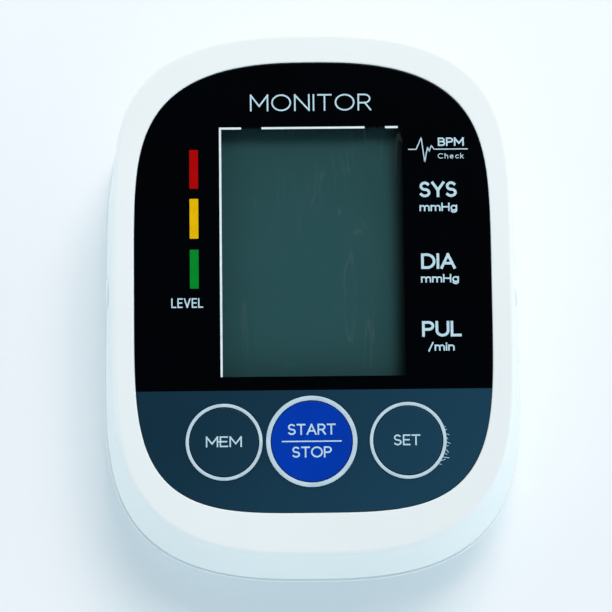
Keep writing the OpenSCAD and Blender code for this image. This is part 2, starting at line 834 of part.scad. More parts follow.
module valve_coil() {
    y0 = valve_y + 1;
    color("#8a3b22") difference() {
        rod([valve_x, y0, valve_z], [valve_x, y0 + 10, valve_z], 4.9);
        rod([valve_x, y0 - 1, valve_z], [valve_x, y0 + 11, valve_z], 2.05);
    }
}

module valve_plunger() {
    color(nickel) {
        rod([valve_x, valve_y + 1.4, valve_z], [valve_x, valve_y + 13, valve_z], 1.98);
        rod([valve_x, valve_y + 12.9, valve_z], [valve_x, valve_y + 13.6, valve_z], 2.8);
    }
}

module valve_body() {
    low = valve_z - valve_half;
    high = valve_z + valve_half;
    color(ivory) difference() {
        union() {
            block([valve_x - valve_half, valve_y - 5, floor_top],
                [valve_x + valve_half, valve_y, high]);
            block([valve_x - valve_half, valve_y - 1, floor_top],
                [valve_x + valve_half, valve_y + 8, low]);
            rod([manifold_x, valve_port_y, high - 1], [manifold_x, valve_port_y, high + 2.2], barb_r);
        }
        rod([manifold_x, valve_port_y, valve_z], [manifold_x, valve_port_y, high + 3], barb_r / 2);
        rod([valve_x, valve_y - 3.6, valve_z], [valve_x, valve_y + 1, valve_z], 2.6);
    }
}

// ---- air lines ----

module air_manifold() {
    front = valve_port_y - 3.5;
    rear = pump_port_y + 3;
    level = manifold_z;
    color(ivory) difference() {
        union() {
            rod([manifold_x, front, level], [manifold_x, rear, level], manifold_r);
            rod([manifold_x, front + 1, level], [manifold_x, front - barb_l, level], barb_r);
            rod([manifold_x, pump_port_y, level],
                [manifold_x + manifold_r + barb_l, pump_port_y, level], barb_r);
            rod([manifold_x, sensor_port_y, level],
                [manifold_x + manifold_r + barb_l, sensor_port_y, level], sensor_barb_r);
            rod([manifold_x, valve_port_y, level],
                [manifold_x, valve_port_y, level - manifold_r - 1.6], barb_r);
        }
        rod([manifold_x, front - barb_l - 1, level], [manifold_x, rear - 1, level], barb_r / 2);
    }
}

module air_socket() {
    face = -socket_face;
    inner = -socket_inner + 0.2;
    color(silver) difference() {
        union() {
            rod([face, port_y, port_h], [inner + 1, port_y, port_h], 4);
            rod([inner, port_y, port_h], [inner + 1.4, port_y, port_h], 5.4);
            rod([inner, port_y, port_h], [manifold_x + 2.8, port_y, port_h], 3.6);
            rod([manifold_x, port_y, port_h], [manifold_x, port_y + 3 + barb_l + 1.5, port_h], barb_r);
            rod([manifold_x, port_y, port_h], [manifold_x, port_y + 4.2, port_h], 2.2);
        }
        rod([face - 1, port_y, port_h], [face + port_l, port_y, port_h], port_r);
        rod([face, port_y, port_h], [manifold_x, port_y, port_h], barb_r / 2);
        rod([manifold_x, port_y, port_h], [manifold_x, port_y + 12, port_h], barb_r / 2);
    }
}

// Straight silicone tube pushed over a barb at each end
module sleeve(a, b) {
    color(tube_tint, 0.7) difference() {
        rod(a, b, tube_r);
        rod(a - unit(b - a), b + unit(b - a), barb_r + barb_fit);
    }
}

module pump_tube() {
    sleeve([manifold_x + manifold_r, pump_port_y, manifold_z], [head_x, pump_port_y, manifold_z]);
}

module valve_tube() {
    sleeve([manifold_x, valve_port_y, valve_z + valve_half],
        [manifold_x, valve_port_y, manifold_z - manifold_r]);
}

module socket_tube() {
    sleeve([manifold_x, port_y + 4.2, manifold_z], [manifold_x, valve_port_y - 3.5, manifold_z]);
}

module sensor_tube() {
    start = [manifold_x + manifold_r, sensor_port_y, manifold_z];
    far = sensor_port;
    route = [start, start + [4, 0, 0], start + [8, -2, 0.4], start + [10, -7, 0.7],
        [start.x + 10, far.y + 12, far.z], [start.x + 8.5, far.y + 4.5, far.z],
        far + [6, 0.6, 0], far + [3, 0, 0], far];
    color(tube_tint, 0.7) difference() {
        sweep(spline(route, 4), sensor_tube_r, 10, [0, 0, 1]);
        rod(start - [1, 0, 0], start + [barb_l, 0, 0], sensor_barb_r + barb_fit);
        rod(far - [1, 0, 0], far + [3.5, 0, 0], sensor_barb_r + barb_fit);
    }
}

// ---- batteries ----

module batteries() {
    color("#3b6ea5") for (i = [0:3]) {
        side = i % 2 == 0 ? 1 : -1;
        tip = side * (bay_half_w - contact_t - eps);
        translate([tip, CELL_Y[i], cell_z]) rotate([0, -90 * side, 0]) {
            cylinder(h = 1.1, r = 2.75);
            translate([0, 0, 1]) cylinder(h = cell_l - 1, r = cell_d / 2);
        }
    }
}

module battery_springs() {
    wire_r = 0.35;
    turns = 4;
    span = 2 * bay_half_w - 2 * contact_t - cell_l - 2 * wire_r - 0.1;
    color(nickel) for (i = [0:3]) {
        side = i % 2 == 0 ? -1 : 1;
        start = side * (bay_half_w - contact_t - wire_r - 0.05);
        path = [for (k = [0:turns * 10])
            let (f = k / (turns * 10), r = 5 - 2 * f)
            [start - side * span * f, CELL_Y[i] + r * cos(36 * k), cell_z + r * sin(36 * k)]];
        sweep(path, wire_r, 6, [1, 0, 0]);
    }
}

// Contact plate on one end wall of the bay, from y0 to y1
module contact_plate(side, y0, y1) {
    x = side * (bay_half_w - contact_t / 2);
    block([x - contact_t / 2, y0, cell_z - 5.5], [x + contact_t / 2, y1, cell_z + 5.5]);
}

module battery_plates() {
    color(nickel) {
        contact_plate(-1, CELL_Y[0] - 5.5, CELL_Y[1] + 5.5);
        contact_plate(-1, CELL_Y[2] - 5.5, CELL_Y[3] + 5.5);
        contact_plate(1, CELL_Y[1] - 5.5, CELL_Y[2] + 5.5);
        for (y = [CELL_Y[0], CELL_Y[3]]) {
            contact_plate(1, y - 5.5, y + 5.5);
            block([bay_half_w - contact_t, y - 2, cell_z], [bay_half_w, y + 2, bay_top + 1.6]);
        }
    }
}

// ---- leads ----

// Insulated lead through its route's points
module lead(route, tint, side_on) {
    color(tint) sweep(spline(route, 3), 0.55, 8, side_on);
}

module battery_leads() {
    plus = deck_pt([23.4, 10.5 - lead_gap, board_bottom - 2.5]);
    minus = deck_pt([20.6, 10.5 - lead_gap, board_bottom - 2.5]);
    tab = bay_half_w - contact_t - 0.55;
    rear_tab = [tab, CELL_Y[3], bay_top + 1];
    front_tab = [tab, CELL_Y[0], bay_top + 1];
    lead([rear_tab, rear_tab + [-1.6, -0.2, 1], plus + [0.8, -3, -2], plus], "red", [0, 1, 0]);
    lead([front_tab, front_tab + [-1.5, 4, 0.2], [tab - 3, -20, bay_top + 1.2],
        [tab - 5, -4, bay_top + 1.8], minus + [-0.4, -3.4, -2], minus], "#222222", [0, 0, 1]);
}

module pump_leads() {
    rear = motor_x + motor_l + lead_gap;
    for (i = [0, 1]) {
        plug = deck_pt([28.5 + 2.4 * i, 24.5 + lead_gap, board_bottom - 2.5]);
        start = [rear, pump_y - 4 + 8 * i, pump_z + 3];
        turn = [rear + 2.2 + 1.6 * i, pump_y - 8 + 4 * i, pump_z + 7 + 2.6 * i];
        lead([start, start + [1.6, -0.4, 0.8], turn, plug + [0, 4, -2], plug],
            i == 0 ? "red" : "#222222", [0, 1, 1]);
    }
}

module valve_leads() {
    for (i = [0, 1]) {
        plug = deck_pt([-12.6 - 2.4 * i, 24.5 + lead_gap, board_bottom - 2.5]);
        start = [valve_x + 1.5, valve_y + 3 + 3 * i, valve_z + 4.66 + 1.5 * lead_gap];
        apart = i * [0.6, 0.3, 2];
        lead([start, start + [1.5, -1.5, 2] + 0.3 * apart, [valve_x + 7.5, pump_y - 15.6, 19.3] + apart,
            [valve_x + 13.5, pump_y - 16.8, 22.3] + apart, plug + [0, 3.4, -3], plug],
            "#e8c531", [1, 1, -1]);
    }
}

module power_leads() {
    inner = socket_inner - 10.7 - lead_gap;
    for (i = [0, 1]) {
        plug = deck_pt([25 + lead_gap, 14.6 - 2.4 * i, board_bottom - 1.2 - 1.8 * i]);
        start = [inner, port_y + 2.5 - 3.5 * i, port_h - 1];
        lead([start, start + [-2, 0.8, 0.6], plug + [3.4, -2.4, -1.6], plug + [1.2, -0.2, -0.1], plug],
            i == 0 ? "red" : "#222222", [0, 0, 1]);
    }
}

top_housing();
bottom_housing();
battery_door();
rubber_feet();
front_panel();
display_window();
rating_label();
mem_button();
start_button();
set_button();
mem_ring();
start_ring();
set_ring();
mem_plunger();
start_plunger();
set_plunger();
switch_bodies();
lcd_gasket();
lcd_glass();
lcd_frame();
backlight_plate();
zebra_strips();
main_board();
board_chips();
board_capacitors();
wire_connectors();
buzzer();
board_screws();
pressure_sensor();
power_socket();
power_pin();
motor_can();
motor_magnets();
motor_rotor();
pump_crank();
pump_frame();
wobble_plate();
pump_diaphragm();
pump_lid();
pump_cradle();
valve_frame();
valve_coil();
valve_plunger();
valve_body();
air_manifold();
air_socket();
pump_tube();
valve_tube();
socket_tube();
sensor_tube();
batteries();
battery_springs();
battery_plates();
battery_leads();
pump_leads();
valve_leads();
power_leads();
housing_screws();
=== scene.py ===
"""Looks of a digital upper-arm blood pressure monitor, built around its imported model.

Sizes inside the functions are in millimetres; meshes are written in metres.
"""

import functools
import json
import math
from collections import namedtuple

import bmesh
import bpy
import numpy as np
from bpy.props import FloatProperty, FloatVectorProperty, PointerProperty
from bpy.types import Operator, Panel, PropertyGroup
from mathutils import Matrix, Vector


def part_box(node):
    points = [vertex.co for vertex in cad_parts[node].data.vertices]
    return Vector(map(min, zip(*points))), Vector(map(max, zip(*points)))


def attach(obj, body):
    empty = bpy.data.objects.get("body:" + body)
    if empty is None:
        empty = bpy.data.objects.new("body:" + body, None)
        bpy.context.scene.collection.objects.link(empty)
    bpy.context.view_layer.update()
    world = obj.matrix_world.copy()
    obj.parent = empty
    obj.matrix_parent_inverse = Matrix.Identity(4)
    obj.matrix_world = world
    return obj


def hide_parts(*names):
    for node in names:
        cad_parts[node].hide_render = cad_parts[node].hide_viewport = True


bl_info = {
    "name": "Blood pressure monitor",
    "version": (1, 0, 0),
    "blender": (4, 5, 0),
    "location": "3D View > Sidebar > Monitor",
    "description": "Builds the housing, front panel, keys, lettering and fittings of the monitor",
    "category": "Object",
}

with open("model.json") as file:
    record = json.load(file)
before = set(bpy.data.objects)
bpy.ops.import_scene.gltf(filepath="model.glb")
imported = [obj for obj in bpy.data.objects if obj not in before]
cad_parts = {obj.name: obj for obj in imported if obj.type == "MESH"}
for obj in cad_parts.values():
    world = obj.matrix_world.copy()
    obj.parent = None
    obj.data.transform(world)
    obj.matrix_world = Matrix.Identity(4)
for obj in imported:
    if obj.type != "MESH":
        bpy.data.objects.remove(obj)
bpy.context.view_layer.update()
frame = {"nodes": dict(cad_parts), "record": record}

MM = 0.001
SHARP = math.radians(35)
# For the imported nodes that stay: how near points are merged, and how wide edges are bevelled
WELD_DISTANCE = 0.002
INNER_EDGE = 0.08

# Housing, in millimetres
LIP_LOW, LIP_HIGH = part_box("bottom_housing")
HALF_W = LIP_HIGH.x / MM
HALF_L = LIP_HIGH.y / MM
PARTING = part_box("top_housing")[0].z / MM
FLOOR = LIP_LOW.z / MM
FLOOR_TOP = FLOOR + 2.0
DECK_H = 42.0
TILT = math.radians(7.0)
LIP_PROUD = 0.5
WALL = 2.2
EDGE_ROUND = 1.2
TOP_HALF_W = HALF_W - LIP_PROUD - 3.0
TOP_REAR = HALF_L - LIP_PROUD - 2.6
TOP_FRONT = HALF_L - LIP_PROUD - 2.4
PANEL_HALF_W = TOP_HALF_W - 5.3
PANEL_REAR = TOP_REAR - 7.15
PANEL_FRONT = TOP_FRONT - 10.0
PANEL_TOP = -0.2
SHELF_TOP = -1.7
SHELF_BOTTOM = -3.7
BOARD_TOP = -11.0
BOSS_TOP = -2.7
RECESS_GAP = 0.1
SLATE_EDGE = -23.2

# Outline shapes: how square the ends and the sides are, at the rear and at the front
BODY_SHAPE = ((2.6, 4.9), (2.7, 4.4))
PANEL_SHAPE = ((2.6, 4.7), (3.6, 4.4))
QUARTER_STEPS = 64
ROUND_STEPS = 160

# Display window: its middle and half sizes, the opening in the shelf under it, its white line and the
# middles of the two gaps in that line
WINDOW_U, WINDOW_V = -0.15, 9.1
WINDOW_HALF_W, WINDOW_HALF_L = 21.5, 29.7
OPENING_MIDDLE = (0.35, 9.05)
OPENING_HALF_W, OPENING_HALF_L = 21.6, 30.3
RIM_LINE = 0.5
LINE_GAPS = (-14.05, 14.95)
GAP_HALF = 2.4
PRINT_SINK = 0.02

# Keys: place across, outer radius and width of the ring; then their clearances and inner shape
KEY_V = -35.1
KEYS = {
    "mem": (-20.95, 8.88, 0.76),
    "start": (-0.7, 10.55, 1.04),
    "set": (21.6, 8.88, 0.76),
}
KEY_GAP = 0.15
HOLE_GROW = 0.1
RING_GAP = 0.01
KEY_FLANGE = 1.2
SCRAPE_HALF_W = 0.07
KEY_TOP = 0.1
KEY_SLOTS = {"mem": "key_slate", "start": "key_blue", "set": "key_slate"}
PLUNGER_TOP = BOARD_TOP + 4.4

# Battery bay, door and fixings
BAY_HALF = 30.0
BAY_WALL = 1.5
MOUTH_CHAMFER = 0.3
DOOR_GAP = 0.3
BAY_FRONT, BAY_REAR = -46.0, 18.0
BAY_ROOF, BAY_TOP = 19.2, 20.8
POCKET_FRONT = -49.3
LATCH_HALF = 7.5
LATCH_THICK = 1.2
TONGUE_X = 18.0
TONGUE_HALF = 4.0
BOSS_R, POST_R, SINK_WALL_R = 3.2, 2.6, 4.4
SCREW_BORE_R = 1.3
SCREWS = ((-41.5, 19.0), (41.5, 19.0), (-40.0, -34.0), (40.0, -34.0))
BOARD_SCREWS = ((-36, 30), (36, 30), (-36, -20), (36, -20), (0, -51))
FEET = ((-28.0, 48.0), (28.0, 48.0), (-25.0, -51.5), (25.0, -51.5))
CELL_ROWS = (-36.5, -21.5, -6.5, 8.5)
CELL_Z = 11.35
CELL_R = 7.25
CELL_L = 50.5
SPRING_TURNS = 4
WIRE_R = 0.35

# Sockets, which face left and right at one place, and the stage
PORT_Y, PORT_Z = 4.0, 24.0
PORT_HOLE_R = 4.05
FLANGE_X = 44.3
FLOOR_HALF = 3000.0


# ---- settings ----


def colour_of(red, green, blue):
    """Linear colour from the usual 0 to 255 screen values."""
    parts = [c / 255 for c in (red, green, blue)]
    return tuple(c / 12.92 if c <= 0.04045 else ((c + 0.055) / 1.055) ** 2.4 for c in parts)


def colour_setting(name, description, default):
    tint = colour_of(*default)
    return FloatVectorProperty(
        name=name, description=description, default=tint, min=0, max=1, size=3, subtype="COLOR"
    )


def length_setting(name, description, default, high):
    start, end = default * MM, high * MM
    return FloatProperty(
        name=name, description=description, default=start, min=0, max=end, precision=5, unit="LENGTH"
    )


class MONITOR_PG_sizes(PropertyGroup):
    """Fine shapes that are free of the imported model"""

    seam: length_setting("Seam", "Chamfer that opens the seam between the housing halves", 0.3, 0.6)
    rim_round: length_setting("Rim rounding", "Rounding of the rim where it meets the panel", 0.3, 0.6)
    panel_chamfer: length_setting("Panel chamfer", "Chamfer of the panel's outer edge", 0.2, 0.5)
    print_height: length_setting("Print height", "Thickness of the printed marks", 0.03, 0.1)
    door_grip: length_setting("Grip depth", "Depth of the grip grooves on the battery door", 0.45, 0.8)


class MONITOR_PG_colours(PropertyGroup):
    """Colours of the monitor"""

    housing: colour_setting("Housing", "Colour of the moulded housing", (233, 239, 240))
    panel: colour_setting("Panel", "Colour of the front panel round the display", (1, 3, 6))
    slate: colour_setting("Slate", "Colour of the front panel round the keys", (23, 54, 72))
    start: colour_setting("Start key", "Colour of the start and stop key", (2, 55, 168))
    rings: colour_setting("Rings", "Colour of the key rings", (192, 214, 227))
    marks: colour_setting("Marks", "Colour of the printed words", (190, 222, 234))
    high: colour_setting("High level", "Colour of the upper level bar", (168, 3, 4))
    raised: colour_setting("Raised level", "Colour of the middle level bar", (232, 184, 4))
    normal: colour_setting("Normal level", "Colour of the lower level bar", (4, 132, 42))
    display: colour_setting("Display", "Colour of the display at rest", (43, 83, 86))


class MONITOR_PG_stage(PropertyGroup):
    """Camera, lights and floor"""

    camera_place: FloatVectorProperty(
        name="Camera place",
        description="Where the camera stands",
        default=(-0.00832, -0.13910, 0.58537),
        size=3,
        subtype="TRANSLATION",
        unit="LENGTH",
    )
    camera_turn: FloatVectorProperty(
        name="Camera turn",
        description="How the camera is turned",
        default=(0.24435, -0.00910, -0.01248),
        size=3,
        subtype="EULER",
        unit="ROTATION",
    )
    lens: FloatProperty(name="Lens", description="Focal length of the camera", default=141.76, unit="CAMERA")
    key_power: FloatProperty(
        name="Key light", description="Power of the large soft light", default=18.5, min=0, unit="POWER"
    )
    fill_power: FloatProperty(
        name="Fill light", description="Power of the soft light opposite", default=0.8, min=0, unit="POWER"
    )
    sky: FloatProperty(name="Room light", description="Strength of the pale room", default=1.76, min=0)
    floor: colour_setting("Floor", "Colour of the floor", (240, 245, 249))


# ---- mesh making ----


def deck(points, w):
    """Points (across, along) on the sloping top face, w above it, in the model's frame."""
    points = np.asarray(points, float)
    v = points[:, 1]
    w = np.broadcast_to(w, v.shape)
    y = v * math.cos(TILT) - w * math.sin(TILT)
    return np.stack([points[:, 0], y, DECK_H + v * math.sin(TILT) + w * math.cos(TILT)], axis=1)


def flat(points, z):
    points = np.asarray(points, float)
    return np.column_stack([points[:, :2], np.full(len(points), z)])


def even_angles(half_w, half_l, shape):
    """Angles over a quarter of the outline whose points lie evenly along it."""
    share = np.linspace(0, 1, 600)
    ends, sides = np.arccos(share ** (shape[0] / 2)), np.arcsin(share ** (shape[1] / 2))
    angles = np.unique(np.concatenate([sides, ends]))
    x = half_w * np.cos(angles).clip(0) ** (2 / shape[0])
    y = half_l * np.sin(angles).clip(0) ** (2 / shape[1])
    length = np.concatenate([[0], np.cumsum(np.hypot(np.diff(x), np.diff(y)))])
    return np.interp(np.linspace(0, length[-1], QUARTER_STEPS + 1), length, angles)


def whole_turn():
    """Angles of the whole outline, the right side first and the rear before the front."""
    rear = even_angles(HALF_W, HALF_L, BODY_SHAPE[0])
    front = even_angles(HALF_W, HALF_L, BODY_SHAPE[1])
    right_front = 2 * math.pi - front[:0:-1]
    return np.concatenate([rear[:-1], math.pi - rear[:0:-1], math.pi + front[:-1], right_front])


TURN = whole_turn()


def outline(half_w, rear, front, shape):
    at_rear = TURN < math.pi - 1e-9
    ends = np.where(at_rear, shape[0][0], shape[1][0])
    sides = np.where(at_rear, shape[0][1], shape[1][1])
    half_l = np.where(at_rear, rear, front)
    c, s = np.cos(TURN), np.sin(TURN)
    x = half_w * np.sign(c) * np.abs(c) ** (2 / ends)
    y = half_l * np.sign(s) * np.abs(s) ** (2 / sides)
    return np.column_stack([x, y])


def body_line(inset):
    return outline(HALF_W - inset, HALF_L - inset, HALF_L - inset, BODY_SHAPE)


def top_line(inset):
    return outline(TOP_HALF_W - inset, TOP_REAR - inset, TOP_FRONT - inset, BODY_SHAPE)


def panel_line(grow):
    return outline(PANEL_HALF_W + grow, PANEL_REAR + grow, PANEL_FRONT + grow, PANEL_SHAPE)


def circle_line(radius, steps, centre=(0, 0)):
    turn = np.linspace(0, 2 * math.pi, steps, endpoint=False)
    return np.column_stack([centre[0] + radius * np.cos(turn), centre[1] + radius * np.sin(turn)])


def rounded_box(centre, half_w, half_l, radius, steps=6):
    """Rectangle with round corners, counterclockwise."""
    points = []
    for k, (sx, sy) in enumerate(((1, 1), (-1, 1), (-1, -1), (1, -1))):
        cx = centre[0] + sx * (half_w - radius)
        cy = centre[1] + sy * (half_l - radius)
        for step in range(steps + 1):
            turn = math.pi / 2 * (k + step / steps)
            points.append((cx + radius * math.cos(turn), cy + radius * math.sin(turn)))
    return np.array(points)


def loft(rings, closed=False):
    """Vertices and faces of the skin through a stack of rings; closed joins the last to the first."""
    n = len(rings[0])
    m = len(rings)
    faces = []
    for k in range(m if closed else m - 1):
        a, b = k * n, (k + 1) % m * n
        faces += [(a + i, a + (i + 1) % n, b + (i + 1) % n, b + i) for i in range(n)]
    if not closed:
        faces.append(tuple(range(n - 1, -1, -1)))
        faces.append(tuple((m - 1) * n + i for i in range(n)))
    return np.concatenate(rings), faces


def slab(line, low, high, edge=0.0, smaller=None):
    """Plate with a chamfered edge; smaller(edge) gives the outline drawn in by the chamfer."""
    if not edge:
        return loft([flat(line, low), flat(line, high)])
    inner = smaller(edge)
    return loft([flat(inner, low), flat(line, low + edge), flat(line, high - edge), flat(inner, high)])


def box_slab(centre, half_w, half_l, low, high, radius, edge):
    """Block with round corners and chamfered edges."""
    line = rounded_box(centre, half_w, half_l, radius)

    def drawn_in(inset):
        return rounded_box(centre, half_w - inset, half_l - inset, max(radius - inset, 0.05))

    return slab(line, low, high, edge, drawn_in)


def disc(radius, low, high, steps):
    return slab(circle_line(radius, steps), low, high)


def stack(line_of, steps):
    """Solid through the outlines line_of(grow), given as (grow, height) pairs."""
    return loft([flat(line_of(grow), z) for grow, z in steps])


def lathe(profile, steps):
    """Solid turned round Z from (radius, height) pairs that start and end on the axis, or else a ring."""
    turned = [flat(circle_line(r, steps), z) for r, z in profile if r > 1e-6]
    return loft(turned, closed=profile[0][0] > 1e-6 and profile[-1][0] > 1e-6)


def sweep(path, radius, sides, side_on):
    """Round solid along a path; side_on is a direction that the path never runs along."""
    path = np.asarray(path, float)
    ahead = np.gradient(path, axis=0)
    ahead /= np.linalg.norm(ahead, axis=1)[:, None]
    across = np.cross(ahead, side_on)
    across /= np.linalg.norm(across, axis=1)[:, None]
    up = np.cross(ahead, across)
    turn = np.linspace(0, 2 * math.pi, sides, endpoint=False)
    rings = []
    for middle, side, rise in zip(path, across, up):
        rings.append(middle + radius * (np.outer(np.cos(turn), side) + np.outer(np.sin(turn), rise)))
    return loft(rings)


def moved(part, shift, turn=None):
    """The part turned by a 3 by 3 table and shifted."""
    points, faces = part
    if turn is not None:
        points = points @ np.array(turn, float).T
    return points + np.array(shift, float), faces


def at_places(part, places):
    """Copies of the part at these places on the floor plan."""
    return [moved(part, (x, y, 0)) for x, y in places]


def on_deck(part, u=0.0, v=0.0):
    """The part laid on the sloping top face at u across and v along."""
    points, faces = part
    return deck(points[:, :2] + (u, v), points[:, 2]), faces


def along_x(part, start, towards=1):
    """The part's Z axis laid along X from start."""
    return moved(part, start, ((0, 0, towards), (0, 1, 0), (-towards, 0, 0)))


def along_y(part, start):
    """The part's Z axis laid along Y from start."""
    return moved(part, start, ((1, 0, 0), (0, 0, 1), (0, -1, 0)))


def joined(parts):
    """Several parts as one."""
    points, faces, count = [], [], 0
    for part_points, part_faces in parts:
        points.append(part_points)
        faces += [tuple(i + count for i in face) for face in part_faces]
        count += len(part_points)
    return np.concatenate(points), faces


def new_object(name, part):
    points, faces = part
    mesh = bpy.data.meshes.new(name)
    mesh.from_pydata((points * MM).tolist(), [], faces)
    shape = bmesh.new()
    shape.from_mesh(mesh)
    bmesh.ops.recalc_face_normals(shape, faces=shape.faces)
    shape.to_mesh(mesh)
    shape.free()
    made = bpy.data.objects.new(name, mesh)
    bpy.context.scene.collection.objects.link(made)
    return made


def carve(piece, steps):
    """Adds and cuts parts, given as (what, part), where what is UNION or DIFFERENCE."""
    tools = []
    for what, part in steps:
        tool = new_object("carving_tool", part)
        step = piece.modifiers.new("carve", "BOOLEAN")
        step.operation = what
        step.object = tool
        step.solver = "EXACT"
        tools.append(tool)
    shape = piece.evaluated_get(bpy.context.evaluated_depsgraph_get())
    mesh = bpy.data.meshes.new_from_object(shape)
    if len(mesh.polygons) < 12:
        raise RuntimeError(f"carving {piece.name} left almost nothing")
    piece.modifiers.clear()
    old = piece.data
    piece.data = mesh
    bpy.data.meshes.remove(old)
    mesh.name = piece.name
    for tool in tools:
        mesh = tool.data
        bpy.data.objects.remove(tool)
        bpy.data.meshes.remove(mesh)


def settle(piece, body, nodes):
    """Shades the piece, puts it on its body and hides the nodes it replaces."""
    piece.data.shade_smooth()
    piece.data.set_sharp_from_angle(angle=SHARP)
    normals = piece.modifiers.new("even shading", "WEIGHTED_NORMAL")
    normals.keep_sharp = True
    normals.weight = 100
    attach(piece, body)
    if nodes:
        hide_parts(*nodes)


def make(name, part, body, slot, nodes=(), carving=(), looks=(), colouring=None):
    """One whole piece; looks are its finishes, if not its slot's, and colouring gives them to faces."""
    piece = new_object(name, part)
    if carving:
        carve(piece, carving)
    if colouring:
        colouring(piece)
    for look in looks or [SLOTS[slot]]:
        piece.data.materials.append(finished(look))
    settle(piece, body, nodes)


# ---- finishes ----

SOCKETS = {float: "NodeSocketFloat", tuple: "NodeSocketColor", type(None): "NodeSocketVector"}
WHITE = (1.0, 1.0, 1.0, 1.0)


def feed(tree, socket, value):
    """Links the socket to another node's output, or sets it to a plain value."""
    if isinstance(value, bpy.types.NodeSocket):
        tree.links.new(value, socket)
    else:
        socket.default_value = (*value, 1) if socket.type == "RGBA" and len(value) == 3 else value


def add_node(tree, kind, **inputs):
    """New node with its inputs fed by name, where an underscore stands for a space."""
    node = tree.nodes.new("ShaderNode" + kind)
    for label, value in inputs.items():
        feed(tree, node.inputs[label.replace("_", " ")], value)
    return node


def math_node(tree, operation, first, second=0.0, clamp=False):
    node = tree.nodes.new("ShaderNodeMath")
    node.operation = operation
    node.use_clamp = clamp
    feed(tree, node.inputs[0], first)
    feed(tree, node.inputs[1], second)
    return node.outputs[0]


def noise_node(tree, place, scale, detail):
    return add_node(tree, "TexNoise", Vector=place, Scale=scale, Detail=detail).outputs["Fac"]


def range_node(tree, source, low, high, start=0.0, end=1.0, kind="LINEAR"):
    """Change from start at low to end at high."""
    node = add_node(tree, "MapRange", Value=source, From_Min=low, From_Max=high, To_Min=start, To_Max=end)
    node.interpolation_type = kind
    return node.outputs[0]


def mix_colours(tree, factor, first, second):
    node = tree.nodes.new("ShaderNodeMix")
    node.data_type = "RGBA"
    for label, value in (("Factor", factor), ("A", first), ("B", second)):
        feed(tree, node.inputs[label], value)
    return node.outputs["Result"]


def new_group(name, inputs, output, kind="NodeSocketFloat"):
    """Node group with one output; inputs gives each input's default, or None for a place."""
    group = bpy.data.node_groups.new(name, "ShaderNodeTree")
    for label, default in inputs.items():
        socket = group.interface.new_socket(name=label, in_out="INPUT", socket_type=SOCKETS[type(default)])
        if default is not None:
            socket.default_value = default
    group.interface.new_socket(name=output, in_out="OUTPUT", socket_type=kind)
    start = group.nodes.new("NodeGroupInput").outputs
    return group, start, group.nodes.new("NodeGroupOutput").inputs[output]


@functools.cache
def moulded_grain():
    """Fine spark-eroded grain over a soft unevenness, as a height."""
    group, start, end = new_group("moulded grain", {"Place": None, "Scale": 3000.0, "Waves": 0.4}, "Height")
    fine = noise_node(group, start["Place"], start["Scale"], 4.0)
    broad = noise_node(group, start["Place"], math_node(group, "MULTIPLY", start["Scale"], 0.04), 2.0)
    waves = math_node(group, "MULTIPLY", broad, start["Waves"])
    feed(group, end, math_node(group, "ADD", fine, waves))
    return group


@functools.cache
def tint_drift():
    """Slow change from one tint to a second."""
    inputs = {"Place": None, "Colour": WHITE, "Second": WHITE, "Scale": 40.0}
    group, start, end = new_group("tint drift", inputs, "Colour", "NodeSocketColor")
    share = range_node(group, noise_node(group, start["Place"], start["Scale"], 4.0), 0.35, 0.65)
    feed(group, end, mix_colours(group, share, start["Colour"], start["Second"]))
    return group


@functools.cache
def handling_marks():
    """Roughness with faint finger marks and rubbed patches."""
    inputs = {"Place": None, "Roughness": 0.4, "Spread": 0.08, "Scale": 90.0}
    group, start, end = new_group("handling marks", inputs, "Roughness")
    patches = noise_node(group, start["Place"], start["Scale"], 5.0)
    change = math_node(group, "MULTIPLY", math_node(group, "SUBTRACT", patches, 0.5), start["Spread"])
    doubled = math_node(group, "MULTIPLY", change, 2.0)
    feed(group, end, math_node(group, "ADD", start["Roughness"], doubled, clamp=True))
    return group


@functools.cache
def hairlines():
    """Thin wandering scratches in two directions, as a mask."""
    group, start, end = new_group("hairlines", {"Place": None, "Scale": 60.0, "Share": 0.5}, "Mask")
    bar = math_node(group, "SUBTRACT", 1.02, start["Share"])
    masks = []
    for angle, stretch in ((0.5, (1.0, 0.03, 1.0)), (-1.0, (1.3, 0.04, 1.0))):
        turned = add_node(group, "Mapping", Vector=start["Place"], Rotation=(0, 0, angle), Scale=stretch)
        lines = noise_node(group, turned.outputs[0], start["Scale"], 2.0)
        middle = math_node(group, "ABSOLUTE", math_node(group, "SUBTRACT", lines, 0.5))
        thin = range_node(group, middle, 0.0, 0.006, 1.0, 0.0)
        broken = noise_node(group, start["Place"], 45.0 + 20 * stretch[0], 2.0)
        masks.append(math_node(group, "MULTIPLY", thin, math_node(group, "GREATER_THAN", broken, bar)))
    feed(group, end, math_node(group, "MAXIMUM", *masks))
    return group


def group_node(tree, maker, place, **values):
    """One of the shared groups, with this material's own values."""
    node = tree.nodes.new("ShaderNodeGroup")
    node.node_tree = maker()
    for label, value in (("place", place), *values.items()):
        feed(tree, node.inputs[label.capitalize()], value)
    return node.outputs[0]


def start_material(name):
    material = bpy.data.materials.new(name)
    material.use_nodes = True
    tree = material.node_tree
    place = tree.nodes.new("ShaderNodeTexCoord").outputs["Object"]
    return material, tree, tree.nodes["Principled BSDF"], place


def shade(colour, factor):
    return tuple(min(1.0, c * factor) for c in colour)


def setting(name):
    return tuple(getattr(bpy.context.scene.monitor_colours, name))


